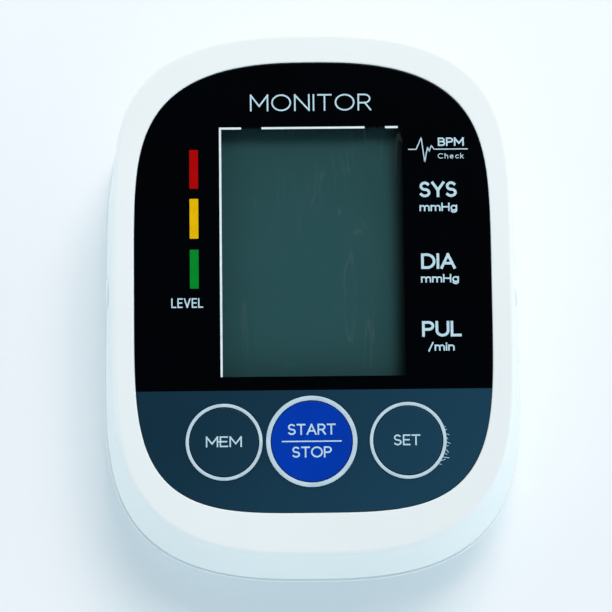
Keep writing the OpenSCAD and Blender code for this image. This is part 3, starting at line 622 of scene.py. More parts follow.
# How a surface varies: the fineness of its tint's drift, its roughness and how far that spreads, the
# fineness of the handling marks and of the grain, the grain's waves and its relief; then shader values
Surface = namedtuple(
    "Surface",
    "drift rough spread marks grain waves bump metallic coat specular soft",
    defaults=(0.0, 0.0, 0.5, 0.0),
)
PANEL_PRINT = Surface(60, 0.12, 0.06, 60, 900, 0.2, 0.02, specular=0.05)
LEVEL_PRINT = Surface(300, 0.4, 0.06, 200, 3000, 0.2, 0.04, specular=0.03)

# Each finish: its tint as a colour setting or as screen values, its second tint as screen values or as a
# share of the first, and its surface
FINISHES = {
    "housing plastic": ("housing", 0.975, Surface(22, 0.42, 0.05, 70, 2600, 0.5, 0.12)),
    # This finish is the tape under the panel and also the painted shade on the walls of the display opening
    "black tape": ((14, 15, 17), (20, 21, 23), Surface(400, 0.7, 0.06, 200, 2500, 0.4, 0.2, specular=0.1)),
    "black panel print": ("panel", 0.6, PANEL_PRINT),
    "white print": ("marks", 0.86, Surface(900, 0.5, 0.05, 900, 4000, 0.2, 0.05, specular=0.2)),
    "window line print": ((224, 236, 240), 0.9, Surface(700, 0.45, 0.05, 600, 4000, 0.2, 0.05, specular=0.2)),
    "high level print": ("high", 0.88, LEVEL_PRINT),
    "raised level print": ("raised", 0.88, LEVEL_PRINT),
    "normal level print": ("normal", 0.88, LEVEL_PRINT),
    "blue key print": ("start", 0.86, Surface(60, 0.28, 0.08, 90, 1200, 0.2, 0.04, specular=0.05)),
    "pale ring print": ("rings", 0.85, Surface(300, 0.38, 0.06, 300, 3000, 0.2, 0.04, specular=0.4)),
    "label foil": (
        (205, 210, 214), (190, 196, 201),
        Surface(60, 0.35, 0.08, 90, 1500, 0.3, 0.1, metallic=0.5),
    ),
    "label ink": ((44, 48, 54), 0.93, Surface(400, 0.5, 0.05, 300, 3000, 0.2, 0.05)),
    "dark rubber": ((58, 60, 63), (72, 74, 76), Surface(160, 0.78, 0.08, 120, 2200, 0.6, 0.4, specular=0.3)),
    "black foam": ((30, 31, 33), (46, 47, 49), Surface(1500, 0.95, 0.03, 400, 2500, 0.8, 0.9, specular=0.1)),
    "light diffuser": ((238, 240, 236), 0.93, Surface(30, 0.55, 0.04, 60, 1200, 0.4, 0.1, soft=0.2)),
    "green solder mask": (
        (24, 92, 52), (16, 70, 40),
        Surface(220, 0.32, 0.06, 200, 1800, 0.6, 0.25, coat=0.3),
    ),
    "moulded chip": ((28, 29, 31), (40, 41, 43), Surface(600, 0.6, 0.05, 300, 6000, 0.4, 0.35)),
    "capacitor sleeve": ((46, 52, 66), (34, 38, 50), Surface(300, 0.3, 0.05, 200, 2500, 0.3, 0.1, coat=0.3)),
    "ivory nylon": ((228, 224, 208), (216, 211, 192), Surface(60, 0.5, 0.06, 90, 2600, 0.5, 0.2, soft=0.1)),
    "black nylon": ((30, 31, 34), (40, 41, 44), Surface(120, 0.5, 0.08, 110, 2600, 0.5, 0.25)),
    "tinned steel": (
        (188, 192, 196), (168, 172, 176),
        Surface(140, 0.3, 0.1, 160, 2400, 0.4, 0.1, metallic=1.0),
    ),
    "nickel plate": (
        (208, 203, 192), (190, 184, 170),
        Surface(180, 0.22, 0.08, 200, 2800, 0.3, 0.06, metallic=1.0),
    ),
    "ferrite magnet": ((54, 55, 58), (44, 45, 48), Surface(500, 0.65, 0.06, 300, 3500, 0.7, 0.5)),
    "coil tape": ((150, 66, 36), (124, 50, 28), Surface(120, 0.4, 0.08, 150, 2200, 0.6, 0.3, coat=0.2)),
    "clear silicone": (
        (218, 224, 226), (204, 211, 214),
        Surface(90, 0.35, 0.06, 120, 1800, 0.4, 0.12, soft=0.4),
    ),
    "lead insulation": ((170, 36, 34), (140, 26, 26), Surface(300, 0.42, 0.05, 200, 2600, 0.3, 0.1)),
    "cell sleeve": ((36, 84, 150), (30, 72, 134), Surface(80, 0.25, 0.06, 90, 1500, 0.2, 0.05, coat=0.3)),
    "cell band": (
        (214, 218, 222), (200, 205, 210),
        Surface(80, 0.28, 0.06, 90, 1500, 0.2, 0.05, metallic=0.6),
    ),
}
SLOTS = {
    "white_abs": "housing plastic",
    "panel_print": "black panel print",
    "key_slate": "slate panel print",
    "key_blue": "blue key print",
    "ring_silver": "pale ring print",
    "label_foil": "label foil",
    "rubber_dark": "dark rubber",
    "foam_black": "black foam",
    "diffuser": "light diffuser",
    "board": "green solder mask",
    "chip_black": "moulded chip",
    "capacitor_sleeve": "capacitor sleeve",
    "ivory_nylon": "ivory nylon",
    "black_nylon": "black nylon",
    "tin_steel": "tinned steel",
    "nickel": "nickel plate",
    "magnet": "ferrite magnet",
    "coil_tape": "coil tape",
    "silicone": "clear silicone",
    "lead_wire": "lead insulation",
    "lcd_cell": "display cell",
    "clear_window": "clear acrylic",
}


def surface_material(name, tint, second, surface):
    """A moulded, printed, metal or rubber finish made from the shared groups."""
    material, tree, shader, place = start_material(name)
    base = group_node(tree, tint_drift, place, colour=tint, second=second, scale=surface.drift)
    handled = group_node(
        tree, handling_marks, place, roughness=surface.rough, spread=surface.spread, scale=surface.marks
    )
    height = group_node(tree, moulded_grain, place, scale=surface.grain, waves=surface.waves)
    relief = add_node(tree, "Bump", Strength=surface.bump, Distance=0.00003, Height=height)
    values = {
        "Base Color": base,
        "Roughness": handled,
        "Normal": relief.outputs[0],
        "Metallic": surface.metallic,
        "Coat Weight": surface.coat,
        "Coat Roughness": 0.12,
        "Specular IOR Level": surface.specular,
    }
    if surface.soft:
        values["Subsurface Weight"] = surface.soft
        values["Subsurface Scale"] = 0.001
        values["Subsurface Radius"] = (1.0, 0.9, 0.8)
    for label, value in values.items():
        feed(tree, shader.inputs[label], value)
    return material


def table_material(name):
    tint, second, surface = FINISHES[name]
    tint = setting(tint) if isinstance(tint, str) else colour_of(*tint)
    second = shade(tint, second) if isinstance(second, float) else colour_of(*second)
    return surface_material(name, tint, second, surface)


def slate_material(name):
    """Slate print with a painted reflection that makes it a little lighter towards its front right corner."""
    slate = setting("slate")
    dark = shade(slate, 0.78)
    print_surface = Surface(25, 0.15, 0.06, 60, 900, 0.2, 0.02, specular=0.08)
    material = surface_material(name, dark, shade(dark, 0.93), print_surface)
    tree = material.node_tree
    base = tree.nodes["Principled BSDF"].inputs["Base Color"]
    tint = base.links[0].from_socket
    place = tree.nodes.new("ShaderNodeTexCoord").outputs["Object"]
    parts = add_node(tree, "SeparateXYZ", Vector=place).outputs
    # Painted reflection: the print grows lighter towards the front right
    towards = math_node(tree, "ADD", parts["X"], math_node(tree, "MULTIPLY", parts["Y"], -0.8))
    lean = range_node(tree, towards, -0.02, 0.075, kind="SMOOTHSTEP")
    feed(tree, base, mix_colours(tree, lean, tint, shade(slate, 1.3)))
    return material


def display_material(name):
    """Grey-green display cell with painted shadow: darker towards its rear and right edges, where the
    window's edges shade it, and slightly darker towards its front.
    """
    material, tree, shader, place = start_material(name)
    middle = setting("display")
    parts = add_node(tree, "SeparateXYZ", Vector=place).outputs
    tint = group_node(tree, tint_drift, place, colour=middle, second=shade(middle, 0.93), scale=30.0)
    # Along or across, where each darkening starts and ends in metres, and its share of the tint; the
    # darkenings towards the rear and the right are painted shadow from the window's edges, the one towards
    # the front only makes it slightly darker there
    for axis, low, high, share in (
        ("Y", 0.010, 0.030, 0.9),
        ("Y", 0.0345, 0.0375, 0.55),
        ("Y", 0.0385, 0.0402, 0.25),
        ("Y", -0.004, -0.022, 0.86),
        ("X", 0.017, 0.0222, 0.03),
    ):
        change = range_node(tree, parts[axis], low, high, kind="SMOOTHSTEP")
        tint = mix_colours(tree, change, tint, shade(middle, share))
    scratches = group_node(tree, hairlines, place, scale=70.0, share=0.5)
    faint = math_node(tree, "MULTIPLY", scratches, 0.12)
    feed(tree, shader.inputs["Base Color"], mix_colours(tree, faint, tint, shade(middle, 1.8)))
    handled = group_node(tree, handling_marks, place, roughness=0.4, spread=0.1, scale=70.0)
    feed(tree, shader.inputs["Roughness"], handled)
    shader.inputs["Specular IOR Level"].default_value = 0.05
    return material


def window_material(name):
    """Clear acrylic: see-through, with a gloss that grows at low angles and faint scratches."""
    material, tree, shader, place = start_material(name)
    tree.nodes.remove(shader)
    clear = add_node(tree, "BsdfTransparent", Color=(0.97, 0.98, 0.98))
    handled = group_node(tree, handling_marks, place, roughness=0.06, spread=0.05, scale=80.0)
    scratches = group_node(tree, hairlines, place, scale=85.0, share=0.52)
    rough = math_node(tree, "ADD", handled, math_node(tree, "MULTIPLY", scratches, 0.5))
    gloss = add_node(tree, "BsdfGlossy", Roughness=rough)
    fresnel = add_node(tree, "Fresnel", IOR=1.3)
    inside = tree.nodes.new("ShaderNodeNewGeometry").outputs["Backfacing"]
    share = math_node(tree, "MULTIPLY", fresnel.outputs[0], math_node(tree, "SUBTRACT", 1.0, inside))
    mix = tree.nodes.new("ShaderNodeMixShader")
    for socket, source in zip(mix.inputs, (share, clear.outputs[0], gloss.outputs[0])):
        tree.links.new(source, socket)
    tree.links.new(mix.outputs[0], tree.nodes["Material Output"].inputs["Surface"])
    return material


SPECIAL = {
    "slate panel print": slate_material,
    "display cell": display_material,
    "clear acrylic": window_material,
}


@functools.cache
def finished(name):
    """The material of this finish, made at its first use."""
    return SPECIAL.get(name, table_material)(name)


# ---- lettering ----


def bow(cx, cy, rx, ry, start, end, steps=14):
    """Points along an arc, angles in degrees."""
    turns = np.radians(np.linspace(start, end, steps))
    return [(cx + rx * math.cos(t), cy + ry * math.sin(t)) for t in turns]


STEM, SHORT_STEM = [(0, 0), (0, 1)], [(0, 0), (0, 0.68)]
UPPER_BOWL = [(0, 1), *bow(0.32, 0.73, 0.28, 0.27, 90, -90), (0, 0.46)]
TAIL = [(0.56, 0.68), *bow(0.28, 0, 0.28, 0.27, 0, -152)]
LOWER_BOWL = [(0, 0.53), *bow(0.36, 0.265, 0.26, 0.265, 90, -90), (0, 0)]

# Each letter: its width and its strokes, with a capital's height as 1
LETTERS = {
    " ": (0.3, []),
    "A": (0.8, [[(0, 0), (0.4, 1)], [(0.4, 1), (0.8, 0)], [(0.14, 0.33), (0.66, 0.33)]]),
    "B": (0.62, [STEM, [(0, 1), *bow(0.33, 0.765, 0.24, 0.235, 90, -90), (0, 0.53)], LOWER_BOWL]),
    "C": (0.82, [bow(0.47, 0.5, 0.47, 0.5, 48, 312, 26)]),
    "D": (0.74, [STEM, [(0, 1), *bow(0.3, 0.5, 0.44, 0.5, 90, -90, 20), (0, 0)]]),
    "E": (0.56, [STEM, [(0, 1), (0.56, 1)], [(0, 0.51), (0.5, 0.51)], [(0, 0), (0.56, 0)]]),
    "H": (0.72, [STEM, [(0.72, 0), (0.72, 1)], [(0, 0.5), (0.72, 0.5)]]),
    "I": (0.0, [STEM]),
    "L": (0.52, [STEM, [(0, 0), (0.52, 0)]]),
    "M": (0.88, [STEM, [(0, 1), (0.44, 0.28)], [(0.44, 0.28), (0.88, 1)], [(0.88, 1), (0.88, 0)]]),
    "N": (0.74, [STEM, [(0, 1), (0.74, 0)], [(0.74, 0), (0.74, 1)]]),
    "O": (0.96, [bow(0.48, 0.5, 0.48, 0.5, 0, 360, 41)]),
    "P": (0.6, [STEM, UPPER_BOWL]),
    "R": (0.64, [STEM, UPPER_BOWL, [(0.34, 0.46), (0.64, 0)]]),
    "S": (0.62, [[*bow(0.31, 0.745, 0.27, 0.255, 38, 270), *bow(0.31, 0.25, 0.3, 0.25, 90, -148)[1:]]]),
    "T": (0.68, [[(0, 1), (0.68, 1)], [(0.34, 1), (0.34, 0)]]),
    "U": (0.7, [[(0, 1), *bow(0.35, 0.36, 0.35, 0.36, 180, 360, 18), (0.7, 1)]]),
    "V": (0.76, [[(0, 1), (0.38, 0)], [(0.38, 0), (0.76, 1)]]),
    "Y": (0.74, [[(0, 1), (0.37, 0.44)], [(0.74, 1), (0.37, 0.44)], [(0.37, 0.44), (0.37, 0)]]),
    "c": (0.5, [bow(0.29, 0.34, 0.29, 0.34, 48, 312, 20)]),
    "e": (0.58, [[(0.02, 0.37), (0.57, 0.37), *bow(0.29, 0.34, 0.29, 0.34, 6, 318, 22)[1:]]]),
    "g": (0.56, [bow(0.28, 0.34, 0.28, 0.34, 0, 360, 29), TAIL]),
    "h": (0.52, [[(0, 0), (0, 1.02)], [*bow(0.26, 0.42, 0.26, 0.26, 180, 0), (0.52, 0)]]),
    "i": (0.0, [SHORT_STEM, [(0, 0.96), (0, 0.98)]]),
    "k": (0.48, [[(0, 0), (0, 1.02)], [(0, 0.26), (0.44, 0.68)], [(0.16, 0.4), (0.48, 0)]]),
    "m": (0.92, [SHORT_STEM, *[[*bow(x, 0.44, 0.23, 0.24, 180, 0), (x + 0.23, 0)] for x in (0.23, 0.69)]]),
    "n": (0.52, [SHORT_STEM, [*bow(0.26, 0.42, 0.26, 0.26, 180, 0), (0.52, 0)]]),
    "/": (0.42, [[(0, -0.1), (0.42, 1.06)]]),
}
LETTER_GAP = 0.24


def round_again(line):
    """The outline with its first point again at its end."""
    return np.concatenate([line, line[:1]])


def stroke_part(points, half, low, high, square=False):
    """Flat mark along a line with round or square ends; a line that ends where it starts becomes a ring."""
    points = np.array(points, float)
    closed = len(points) > 3 and np.allclose(points[0], points[-1], atol=1e-6)
    if closed:
        points = points[:-1]
        ahead = np.roll(points, -1, axis=0) - np.roll(points, 1, axis=0)
    else:
        ahead = np.gradient(points, axis=0)
    ahead /= np.linalg.norm(ahead, axis=1)[:, None]
    side = np.column_stack([-ahead[:, 1], ahead[:, 0]])
    if square and not closed:
        points[0] -= half * ahead[0]
        points[-1] += half * ahead[-1]
    left, right = points + half * side, points - half * side
    if closed:
        return loft([flat(right, low), flat(right, high), flat(left, high), flat(left, low)], closed=True)
    if square:
        line = np.concatenate([right, left[::-1]])
        return loft([flat(line, low), flat(line, high)])
    caps = []
    for centre, direction in ((points[-1], ahead[-1]), (points[0], -ahead[0])):
        first = math.atan2(direction[1], direction[0]) - math.pi / 2
        turns = first + np.linspace(0, math.pi, 9)[1:-1]
        caps.append(centre + half * np.column_stack([np.cos(turns), np.sin(turns)]))
    line = np.concatenate([right, caps[0], left[::-1], caps[1]])
    return loft([flat(line, low), flat(line, high)])


def words(text, left, right, bottom, top, stroke, low, high, gap=LETTER_GAP):
    """Strokes of a line of text that fills the given box; gap is the room between its letters."""
    half = stroke / 2
    widths = [LETTERS[c][0] for c in text]
    natural = sum(widths) + gap * (len(text) - 1)
    tall = top - bottom - stroke
    wide = (right - left - stroke) / natural
    parts, at = [], 0.0
    for k, c in enumerate(text):
        for line in LETTERS[c][1]:
            placed = [(left + half + (at + x) * wide, bottom + half + y * tall) for x, y in line]
            parts.append(stroke_part(placed, half, low, high + 0.002 * (len(parts) % 5), square=True))
        at += widths[k] + gap
    return parts


# ---- operators ----


class MONITOR_OT_stage(Operator):
    """Make the camera, the lights and the floor"""

    bl_idname = "monitor.stage"
    bl_label = "Stage"

    def execute(self, context):
        stage = context.scene.monitor_stage
        lens = bpy.data.cameras.new("stage_camera")
        lens.lens = stage.lens
        lens.sensor_width = 36
        lens.clip_start = 0.01
        camera = bpy.data.objects.new("stage_camera", lens)
        camera.location = stage.camera_place
        camera.rotation_euler = stage.camera_turn
        context.scene.collection.objects.link(camera)
        context.scene.camera = camera
        self.add_light("key_light", (0.34, 0.86, 1.75), 0.9, stage.key_power, (1.0, 0.80, 0.72))
        self.add_light("fill_light", (-0.85, 0.1, 0.45), 0.5, stage.fill_power, (0.9, 0.97, 1.0))
        self.add_floor(tuple(stage.floor))
        self.add_room(context.scene, stage.sky)
        context.scene.view_settings.view_transform = "Standard"
        return {"FINISHED"}

    def add_light(self, name, place, size, power, colour):
        lamp = bpy.data.lights.new(name, "AREA")
        lamp.shape = "SQUARE"
        lamp.size = size
        lamp.energy = power
        lamp.color = colour
        light = bpy.data.objects.new(name, lamp)
        light.location = place
        aim = -light.location.normalized()
        light.rotation_euler = aim.to_track_quat("-Z", "Y").to_euler()
        bpy.context.scene.collection.objects.link(light)

    def add_floor(self, tint):
        line = rounded_box((0, 0), FLOOR_HALF, FLOOR_HALF, 300, 12)
        floor = new_object("stage_floor", slab(line, -4.0, -0.02))
        table = Surface(3, 0.6, 0.05, 12, 500, 0.4, 0.05, specular=0.2)
        floor.data.materials.append(surface_material("pale table", tint, shade(tint, 0.985), table))

    def add_room(self, scene, sky):
        """Pale room: bright at the height of the walls, dim overhead and dimmer on the left."""
        world = bpy.data.worlds.new("pale_room")
        world.use_nodes = True
        scene.world = world
        tree = world.node_tree
        back = tree.nodes["Background"]
        place = tree.nodes.new("ShaderNodeTexCoord").outputs["Generated"]
        parts = add_node(tree, "SeparateXYZ", Vector=place).outputs
        fade = tree.nodes.new("ShaderNodeValToRGB")
        stops = fade.color_ramp.elements
        for stop, height, colour in zip(stops, (0.3, 0.95), ((0.78, 0.93, 1.0, 1), (0.06, 0.08, 0.09, 1))):
            stop.position = height
            stop.color = colour
        feed(tree, fade.inputs[0], parts["Z"])
        feed(tree, back.inputs["Color"], fade.outputs[0])
        right = math_node(tree, "MULTIPLY", parts["X"], 0.22)
        rear = math_node(tree, "MULTIPLY", parts["Y"], 0.06)
        side = math_node(tree, "ADD", math_node(tree, "ADD", right, rear), 0.9)
        feed(tree, back.inputs["Strength"], math_node(tree, "MULTIPLY", side, sky))


class MONITOR_OT_top_housing(Operator):
    """Build the upper housing with its rim, panel recess, window and key holes"""

    bl_idname = "monitor.top_housing"
    bl_label = "Upper housing"

    def execute(self, context):
        sizes = context.scene.monitor_sizes
        seam = sizes.seam / MM
        soft = sizes.rim_round / MM
        foot = flat(body_line(LIP_PROUD), PARTING + seam)
        shoulder = deck(top_line(0), -EDGE_ROUND)
        rings = [
            deck(top_line(WALL), SHELF_BOTTOM),
            flat(body_line(LIP_PROUD + WALL), PARTING),
            flat(body_line(LIP_PROUD + seam), PARTING),
            foot,
        ]
        rings += [foot + (shoulder - foot) * share for share in (0.2, 0.4, 0.6, 0.8, 0.92)]
        for turn in np.radians(np.linspace(0, 90, 15)):
            inset = EDGE_ROUND * (1 - math.cos(turn))
            rings.append(deck(top_line(inset), -EDGE_ROUND * (1 - math.sin(turn))))
        for turn in np.radians(np.linspace(0, 90, 5)):
            grow = RECESS_GAP + soft * (1 - math.sin(turn))
            rings.append(deck(panel_line(grow), -soft * (1 - math.cos(turn))))
        rings.append(deck(panel_line(RECESS_GAP), SHELF_TOP))
        carving = [("UNION", self.bosses()), ("DIFFERENCE", self.holes()), ("DIFFERENCE", self.bores())]
        looks = ["housing plastic", "black tape"]
        make("upper_housing", loft(rings), "housing", "white_abs", ["top_housing"], carving, looks, self.tape)
        return {"FINISHED"}

    def tape(self, piece):
        """Black tape on the shelf that the panel is stuck to; the walls of its window opening are coloured
        black as painted shade.
        """
        for face in piece.data.polygons:
            x, y, z = (c / MM for c in face.center)
            depth = (z - DECK_H) * math.cos(TILT) - y * math.sin(TILT)
            along = y * math.cos(TILT) + (z - DECK_H) * math.sin(TILT)
            on_shelf = abs(depth - SHELF_TOP) < 0.02
            across_opening = abs(x - OPENING_MIDDLE[0]) < OPENING_HALF_W + 0.1
            along_opening = abs(along - OPENING_MIDDLE[1]) < OPENING_HALF_L + 0.1
            # The walls of the window opening get the black finish as painted shade
            in_opening = SHELF_BOTTOM + 0.1 < depth < SHELF_TOP and across_opening and along_opening
            if on_shelf or in_opening:
                face.material_index = 1

    def bosses(self):
        parts = []
        for x, y in SCREWS:
            top = DECK_H + y * math.tan(TILT) + BOSS_TOP
            boss = lathe([(0, PARTING), (BOSS_R, PARTING), (BOSS_R, top), (0, top)], 48)
            parts.append(moved(boss, (x, y, 0)))
        for u, v in BOARD_SCREWS:
            post = lathe([(0, BOARD_TOP), (POST_R, BOARD_TOP), (POST_R, BOSS_TOP), (0, BOSS_TOP)], 48)
            parts.append(on_deck(post, u, v))
        return joined(parts)

    def holes(self):
        low, high = SHELF_BOTTOM - 1, SHELF_TOP + 1
        line = rounded_box(OPENING_MIDDLE, OPENING_HALF_W, OPENING_HALF_L, 0.5)
        parts = [on_deck(slab(line, low, high))]
        for u, ring_r, ring_w in KEYS.values():
            parts.append(on_deck(disc(ring_r - ring_w + HOLE_GROW, low, high, 128), u, KEY_V))
        return joined(parts)

    def bores(self):
        parts = at_places(disc(SCREW_BORE_R, PARTING - 1, PARTING + 12, 40), SCREWS)
        for side in (-1, 1):
            start = (side * (HALF_W + 2), PORT_Y, PORT_Z)
            parts.append(along_x(disc(PORT_HOLE_R, 0, 14, 96), start, -side))
        return joined(parts)


class MONITOR_OT_bottom_housing(Operator):
    """Build the lower housing with its lip, battery bay, screw sinks and foot recesses"""

    bl_idname = "monitor.bottom_housing"
    bl_label = "Lower housing"

    def execute(self, context):
        # Inset from the lip and height, up the outside, over the tongue and down the inside
        outside = [(6.0, 1.5), (5.5, 1.56), (5.1, 1.75), (4.8, 2.1), (4.55, 2.6), (4.3, 3.4)]
        outside += [(4.3 - 3.2 * k / 8, 3.4 + 11.0 * k / 8) for k in range(1, 9)]
        lip = [(0.75, 14.5), (0.3, 14.66), (0.08, 14.82), (0, 15.05), (0, 15.75), (0.08, 15.92), (0.25, 16.0)]
        tongue = [(3.2, 16.0), (3.2, 17.0), (3.4, 17.2), (4.1, 17.2), (4.3, 17.0), (4.3, 16.0)]
        inside = [(5.5, 9.0), (6.5, 4.2), (6.9, 3.6), (7.6, 3.5)]
        shell = stack(body_line, outside + lip + tongue + inside)
        carving = [("UNION", self.bay_block()), ("UNION", self.posts()), ("DIFFERENCE", self.bay_room())]
        carving += [("DIFFERENCE", self.pocket_room()), ("DIFFERENCE", self.sinks())]
        make("lower_housing", shell, "housing", "white_abs", ["bottom_housing"], carving)
        return {"FINISHED"}

    def bay_block(self):
        middle = (BAY_FRONT + BAY_REAR) / 2
        half_l = (BAY_REAR - BAY_FRONT) / 2 + BAY_WALL
        return box_slab((0, middle), BAY_HALF + BAY_WALL, half_l, FLOOR_TOP - 1, BAY_TOP, 1.2, 0.4)

    def posts(self):
        posts = at_places(disc(SINK_WALL_R, 2.5, 15.98, 64), SCREWS)
        middle = (POCKET_FRONT - BAY_WALL + BAY_FRONT) / 2
        half_l = (BAY_FRONT - POCKET_FRONT + BAY_WALL) / 2
        posts.append(box_slab((0, middle), LATCH_HALF + 2, half_l, FLOOR_TOP - 1, 11.6, 0.8, 0.3))
        return joined(posts)

    def room(self, half_w, front, rear, roof):
        """Room that is open downwards, with a chamfered edge."""
        middle, half_l = (front + rear) / 2, (rear - front) / 2
        wide = MOUTH_CHAMFER
        steps = ((wide, 0.0), (wide, FLOOR), (0.0, FLOOR + wide), (0.0, roof))
        return stack(lambda grow: rounded_box((0, middle), half_w + grow, half_l + grow, 0.4), steps)

    def bay_room(self):
        """Room for the cells."""
        return self.room(BAY_HALF, BAY_FRONT, BAY_REAR, BAY_ROOF)

    def pocket_room(self):
        """Room for the latch, slots for the door's tongues and passages for the battery leads."""
        parts = [self.room(LATCH_HALF + 0.5, POCKET_FRONT, BAY_FRONT + 1, 10.2)]
        for side in (-1, 1):
            middle = (side * TONGUE_X, BAY_REAR + 0.75)
            parts.append(box_slab(middle, TONGUE_HALF + 0.5, 1.75, FLOOR_TOP, FLOOR_TOP + 3.4, 0.3, 0.1))
        for y in (CELL_ROWS[0], CELL_ROWS[3]):
            parts.append(box_slab((BAY_HALF - 0.3, y), 0.31, 2.2, BAY_ROOF - 1, BAY_TOP + 1, 0.1, 0.05))
        return joined(parts)

    def sinks(self):
        profile = [(0, 0), (3.5, 0), (3.5, FLOOR - 0.05), (3.0, FLOOR + 0.45), (3.0, 9.0)]
        profile += [(1.45, 9.0), (1.45, 17), (0, 17)]
        recess = disc(4.65, 0, FLOOR + 0.4, 64)
        return joined(at_places(lathe(profile, 64), SCREWS) + at_places(recess, FEET))


class MONITOR_OT_battery_door(Operator):
    """Build the battery door with its grip, tongues and springy latch"""

    bl_idname = "monitor.battery_door"
    bl_label = "Battery door"

    def execute(self, context):
        depth = context.scene.monitor_sizes.door_grip / MM
        front, rear = BAY_FRONT + DOOR_GAP, BAY_REAR - DOOR_GAP
        middle, half_l = (front + rear) / 2, (rear - front) / 2
        plate = stack(
            lambda inset: rounded_box((0, middle), BAY_HALF - DOOR_GAP - inset, half_l - inset, 1.0 - inset),
            ((0.35, 1.5), (0.1, 1.58), (0.0, 1.8), (0.0, 3.3), (0.2, 3.5)),
        )
        carving = [("UNION", self.latch(front)), ("UNION", self.tongues(rear))]
        carving.append(("DIFFERENCE", self.grip(depth)))
        make("door_panel", plate, "door", "white_abs", ["battery_door"], carving)
        return {"FINISHED"}

    def latch(self, front):
        """Strip that rises from the door, turns over and comes down to a finger tab with a catch."""
        low, bend = FLOOR_TOP - 0.8, 7.0
        near, far = front + LATCH_THICK, BAY_FRONT - 2.3
        middle, reach = (near + far) / 2, (near - far) / 2
        line = [(near, low), (near, bend)]
        for t in np.linspace(0.15, math.pi, 12):
            line.append((middle + reach * math.cos(t), bend + 2.0 * math.sin(t)))
        line += [(far, 1.9), (far + 0.15, 1.6), (far + 0.4, 1.5), (far + LATCH_THICK, 1.5)]
        line.append((far + LATCH_THICK, bend))
        inner = reach - LATCH_THICK
        for t in np.linspace(math.pi - 0.2, 0.2, 8):
            line.append((middle + inner * math.cos(t), bend + 0.8 * math.sin(t)))
        line += [(front, bend), (front, low)]
        tooth = [(far + 0.6, 5.0), (far - 0.1, 5.0), (far - 0.7, 4.4), (far - 0.7, 3.9), (far + 0.6, 3.8)]
        return joined([self.bar(line, LATCH_HALF), self.bar(tooth, LATCH_HALF - 0.4)])

    def bar(self, line, half):
        """Bar across the body with this side view, given as (y, z)."""
        return loft([np.array([(x, y, z) for y, z in line]) for x in (-half, half)])

    def tongues(self, rear):
        tip = BAY_REAR + 3.0
        line = [(rear - 2.2, 2.7), (rear - 0.02, 2.7), (rear - 0.02, 3.8), (tip - 0.4, 3.8), (tip, 4.1)]
        line += [(tip, 4.6), (tip - 0.4, 5.0), (rear - 1.6, 5.0), (rear - 2.2, 4.4)]
        return joined(at_places(self.bar(line, TONGUE_HALF), ((-TONGUE_X, 0), (TONGUE_X, 0))))

    def grip(self, depth):
        """Five shallow grooves and an arrow that points to the latch."""
        top = BAY_FRONT + 24.0
        lines = [rounded_box((0, BAY_FRONT + 6.0 + 2.4 * k), 10.0 - 0.6 * k, 0.55, 0.5) for k in range(5)]
        right = [(4.2, top), (1.6, top), (1.6, top + 5)]
        lines.append(np.array([(0, top - 5), *right, *[(-x, y) for x, y in right[::-1]]]))
        return joined([slab(line, FLOOR - 1, FLOOR + depth) for line in lines])


class MONITOR_OT_underside(Operator):
    """Build the rubber feet and the rating label"""

    bl_idname = "monitor.underside"
    bl_label = "Feet and label"

    def execute(self, context):
        profile = [(0, 0.12), (2.6, 0.05), (3.4, 0.0), (3.9, 0.06), (4.3, 0.35), (4.5, 0.8)]
        profile += [(4.5, 1.9), (0, 1.9)]
        feet = joined(at_places(lathe(profile, 64), FEET))
        make("feet", feet, "housing", "rubber_dark", ["rubber_feet"])
        low, high = (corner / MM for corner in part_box("rating_label"))
        middle = ((low.x + high.x) / 2, (low.y + high.y) / 2)
        half_w, half_l = (high.x - low.x) / 2, (high.y - low.y) / 2
        plate = box_slab(middle, half_w, half_l, low.z, high.z, 1.5, 0.03)
        make("label_plate", plate, "housing", "label_foil", ["rating_label"])
        self.label_print(middle, half_w, half_l, low.z)
        return {"FINISHED"}

    def label_print(self, middle, half_w, half_l, under):
        """Ruled frame, plain bars and a polarity symbol, with no words."""
        x, y = middle
        low, high = under - PRINT_SINK, under + PRINT_SINK
        edge = rounded_box(middle, half_w - 1.2, half_l - 1.2, 0.8)
        parts = [stroke_part(round_again(edge), 0.12, low, high)]

        def rule(x0, x1, y0, half, y1=None, deeper=0.0):
            ends = [(x0, y0), (x1, y0 if y1 is None else y1)]
            parts.append(stroke_part(ends, half, low - deeper, high))

        for k, share in enumerate((0.9, 0.7, 0.8, 0.55)):
            start = x - half_w + 3.5
            rule(start, start + 22 * share, y + half_l - 4.5 - 2.4 * k, 0.35)
        rule(x - half_w + 1.3, x + half_w - 1.3, y - half_l + 5, 0.1)
        sign_x, sign_y = x + half_w - 9, y + 2
        parts.append(stroke_part(round_again(circle_line(1.6, 41, (sign_x, sign_y))), 0.14, low, high))
        for side in (-1, 1):
            end = sign_x + side * 4.6
            rule(sign_x + side * 1.8, sign_x + side * 3.4, sign_y, 0.12)
            rule(end - 0.7, end + 0.7, sign_y, 0.14)
            if side > 0:
                rule(end, end, sign_y - 0.7, 0.14, sign_y + 0.7, 0.004)
        make("label_marks", joined(parts), "housing", "label_foil", looks=["label ink"])


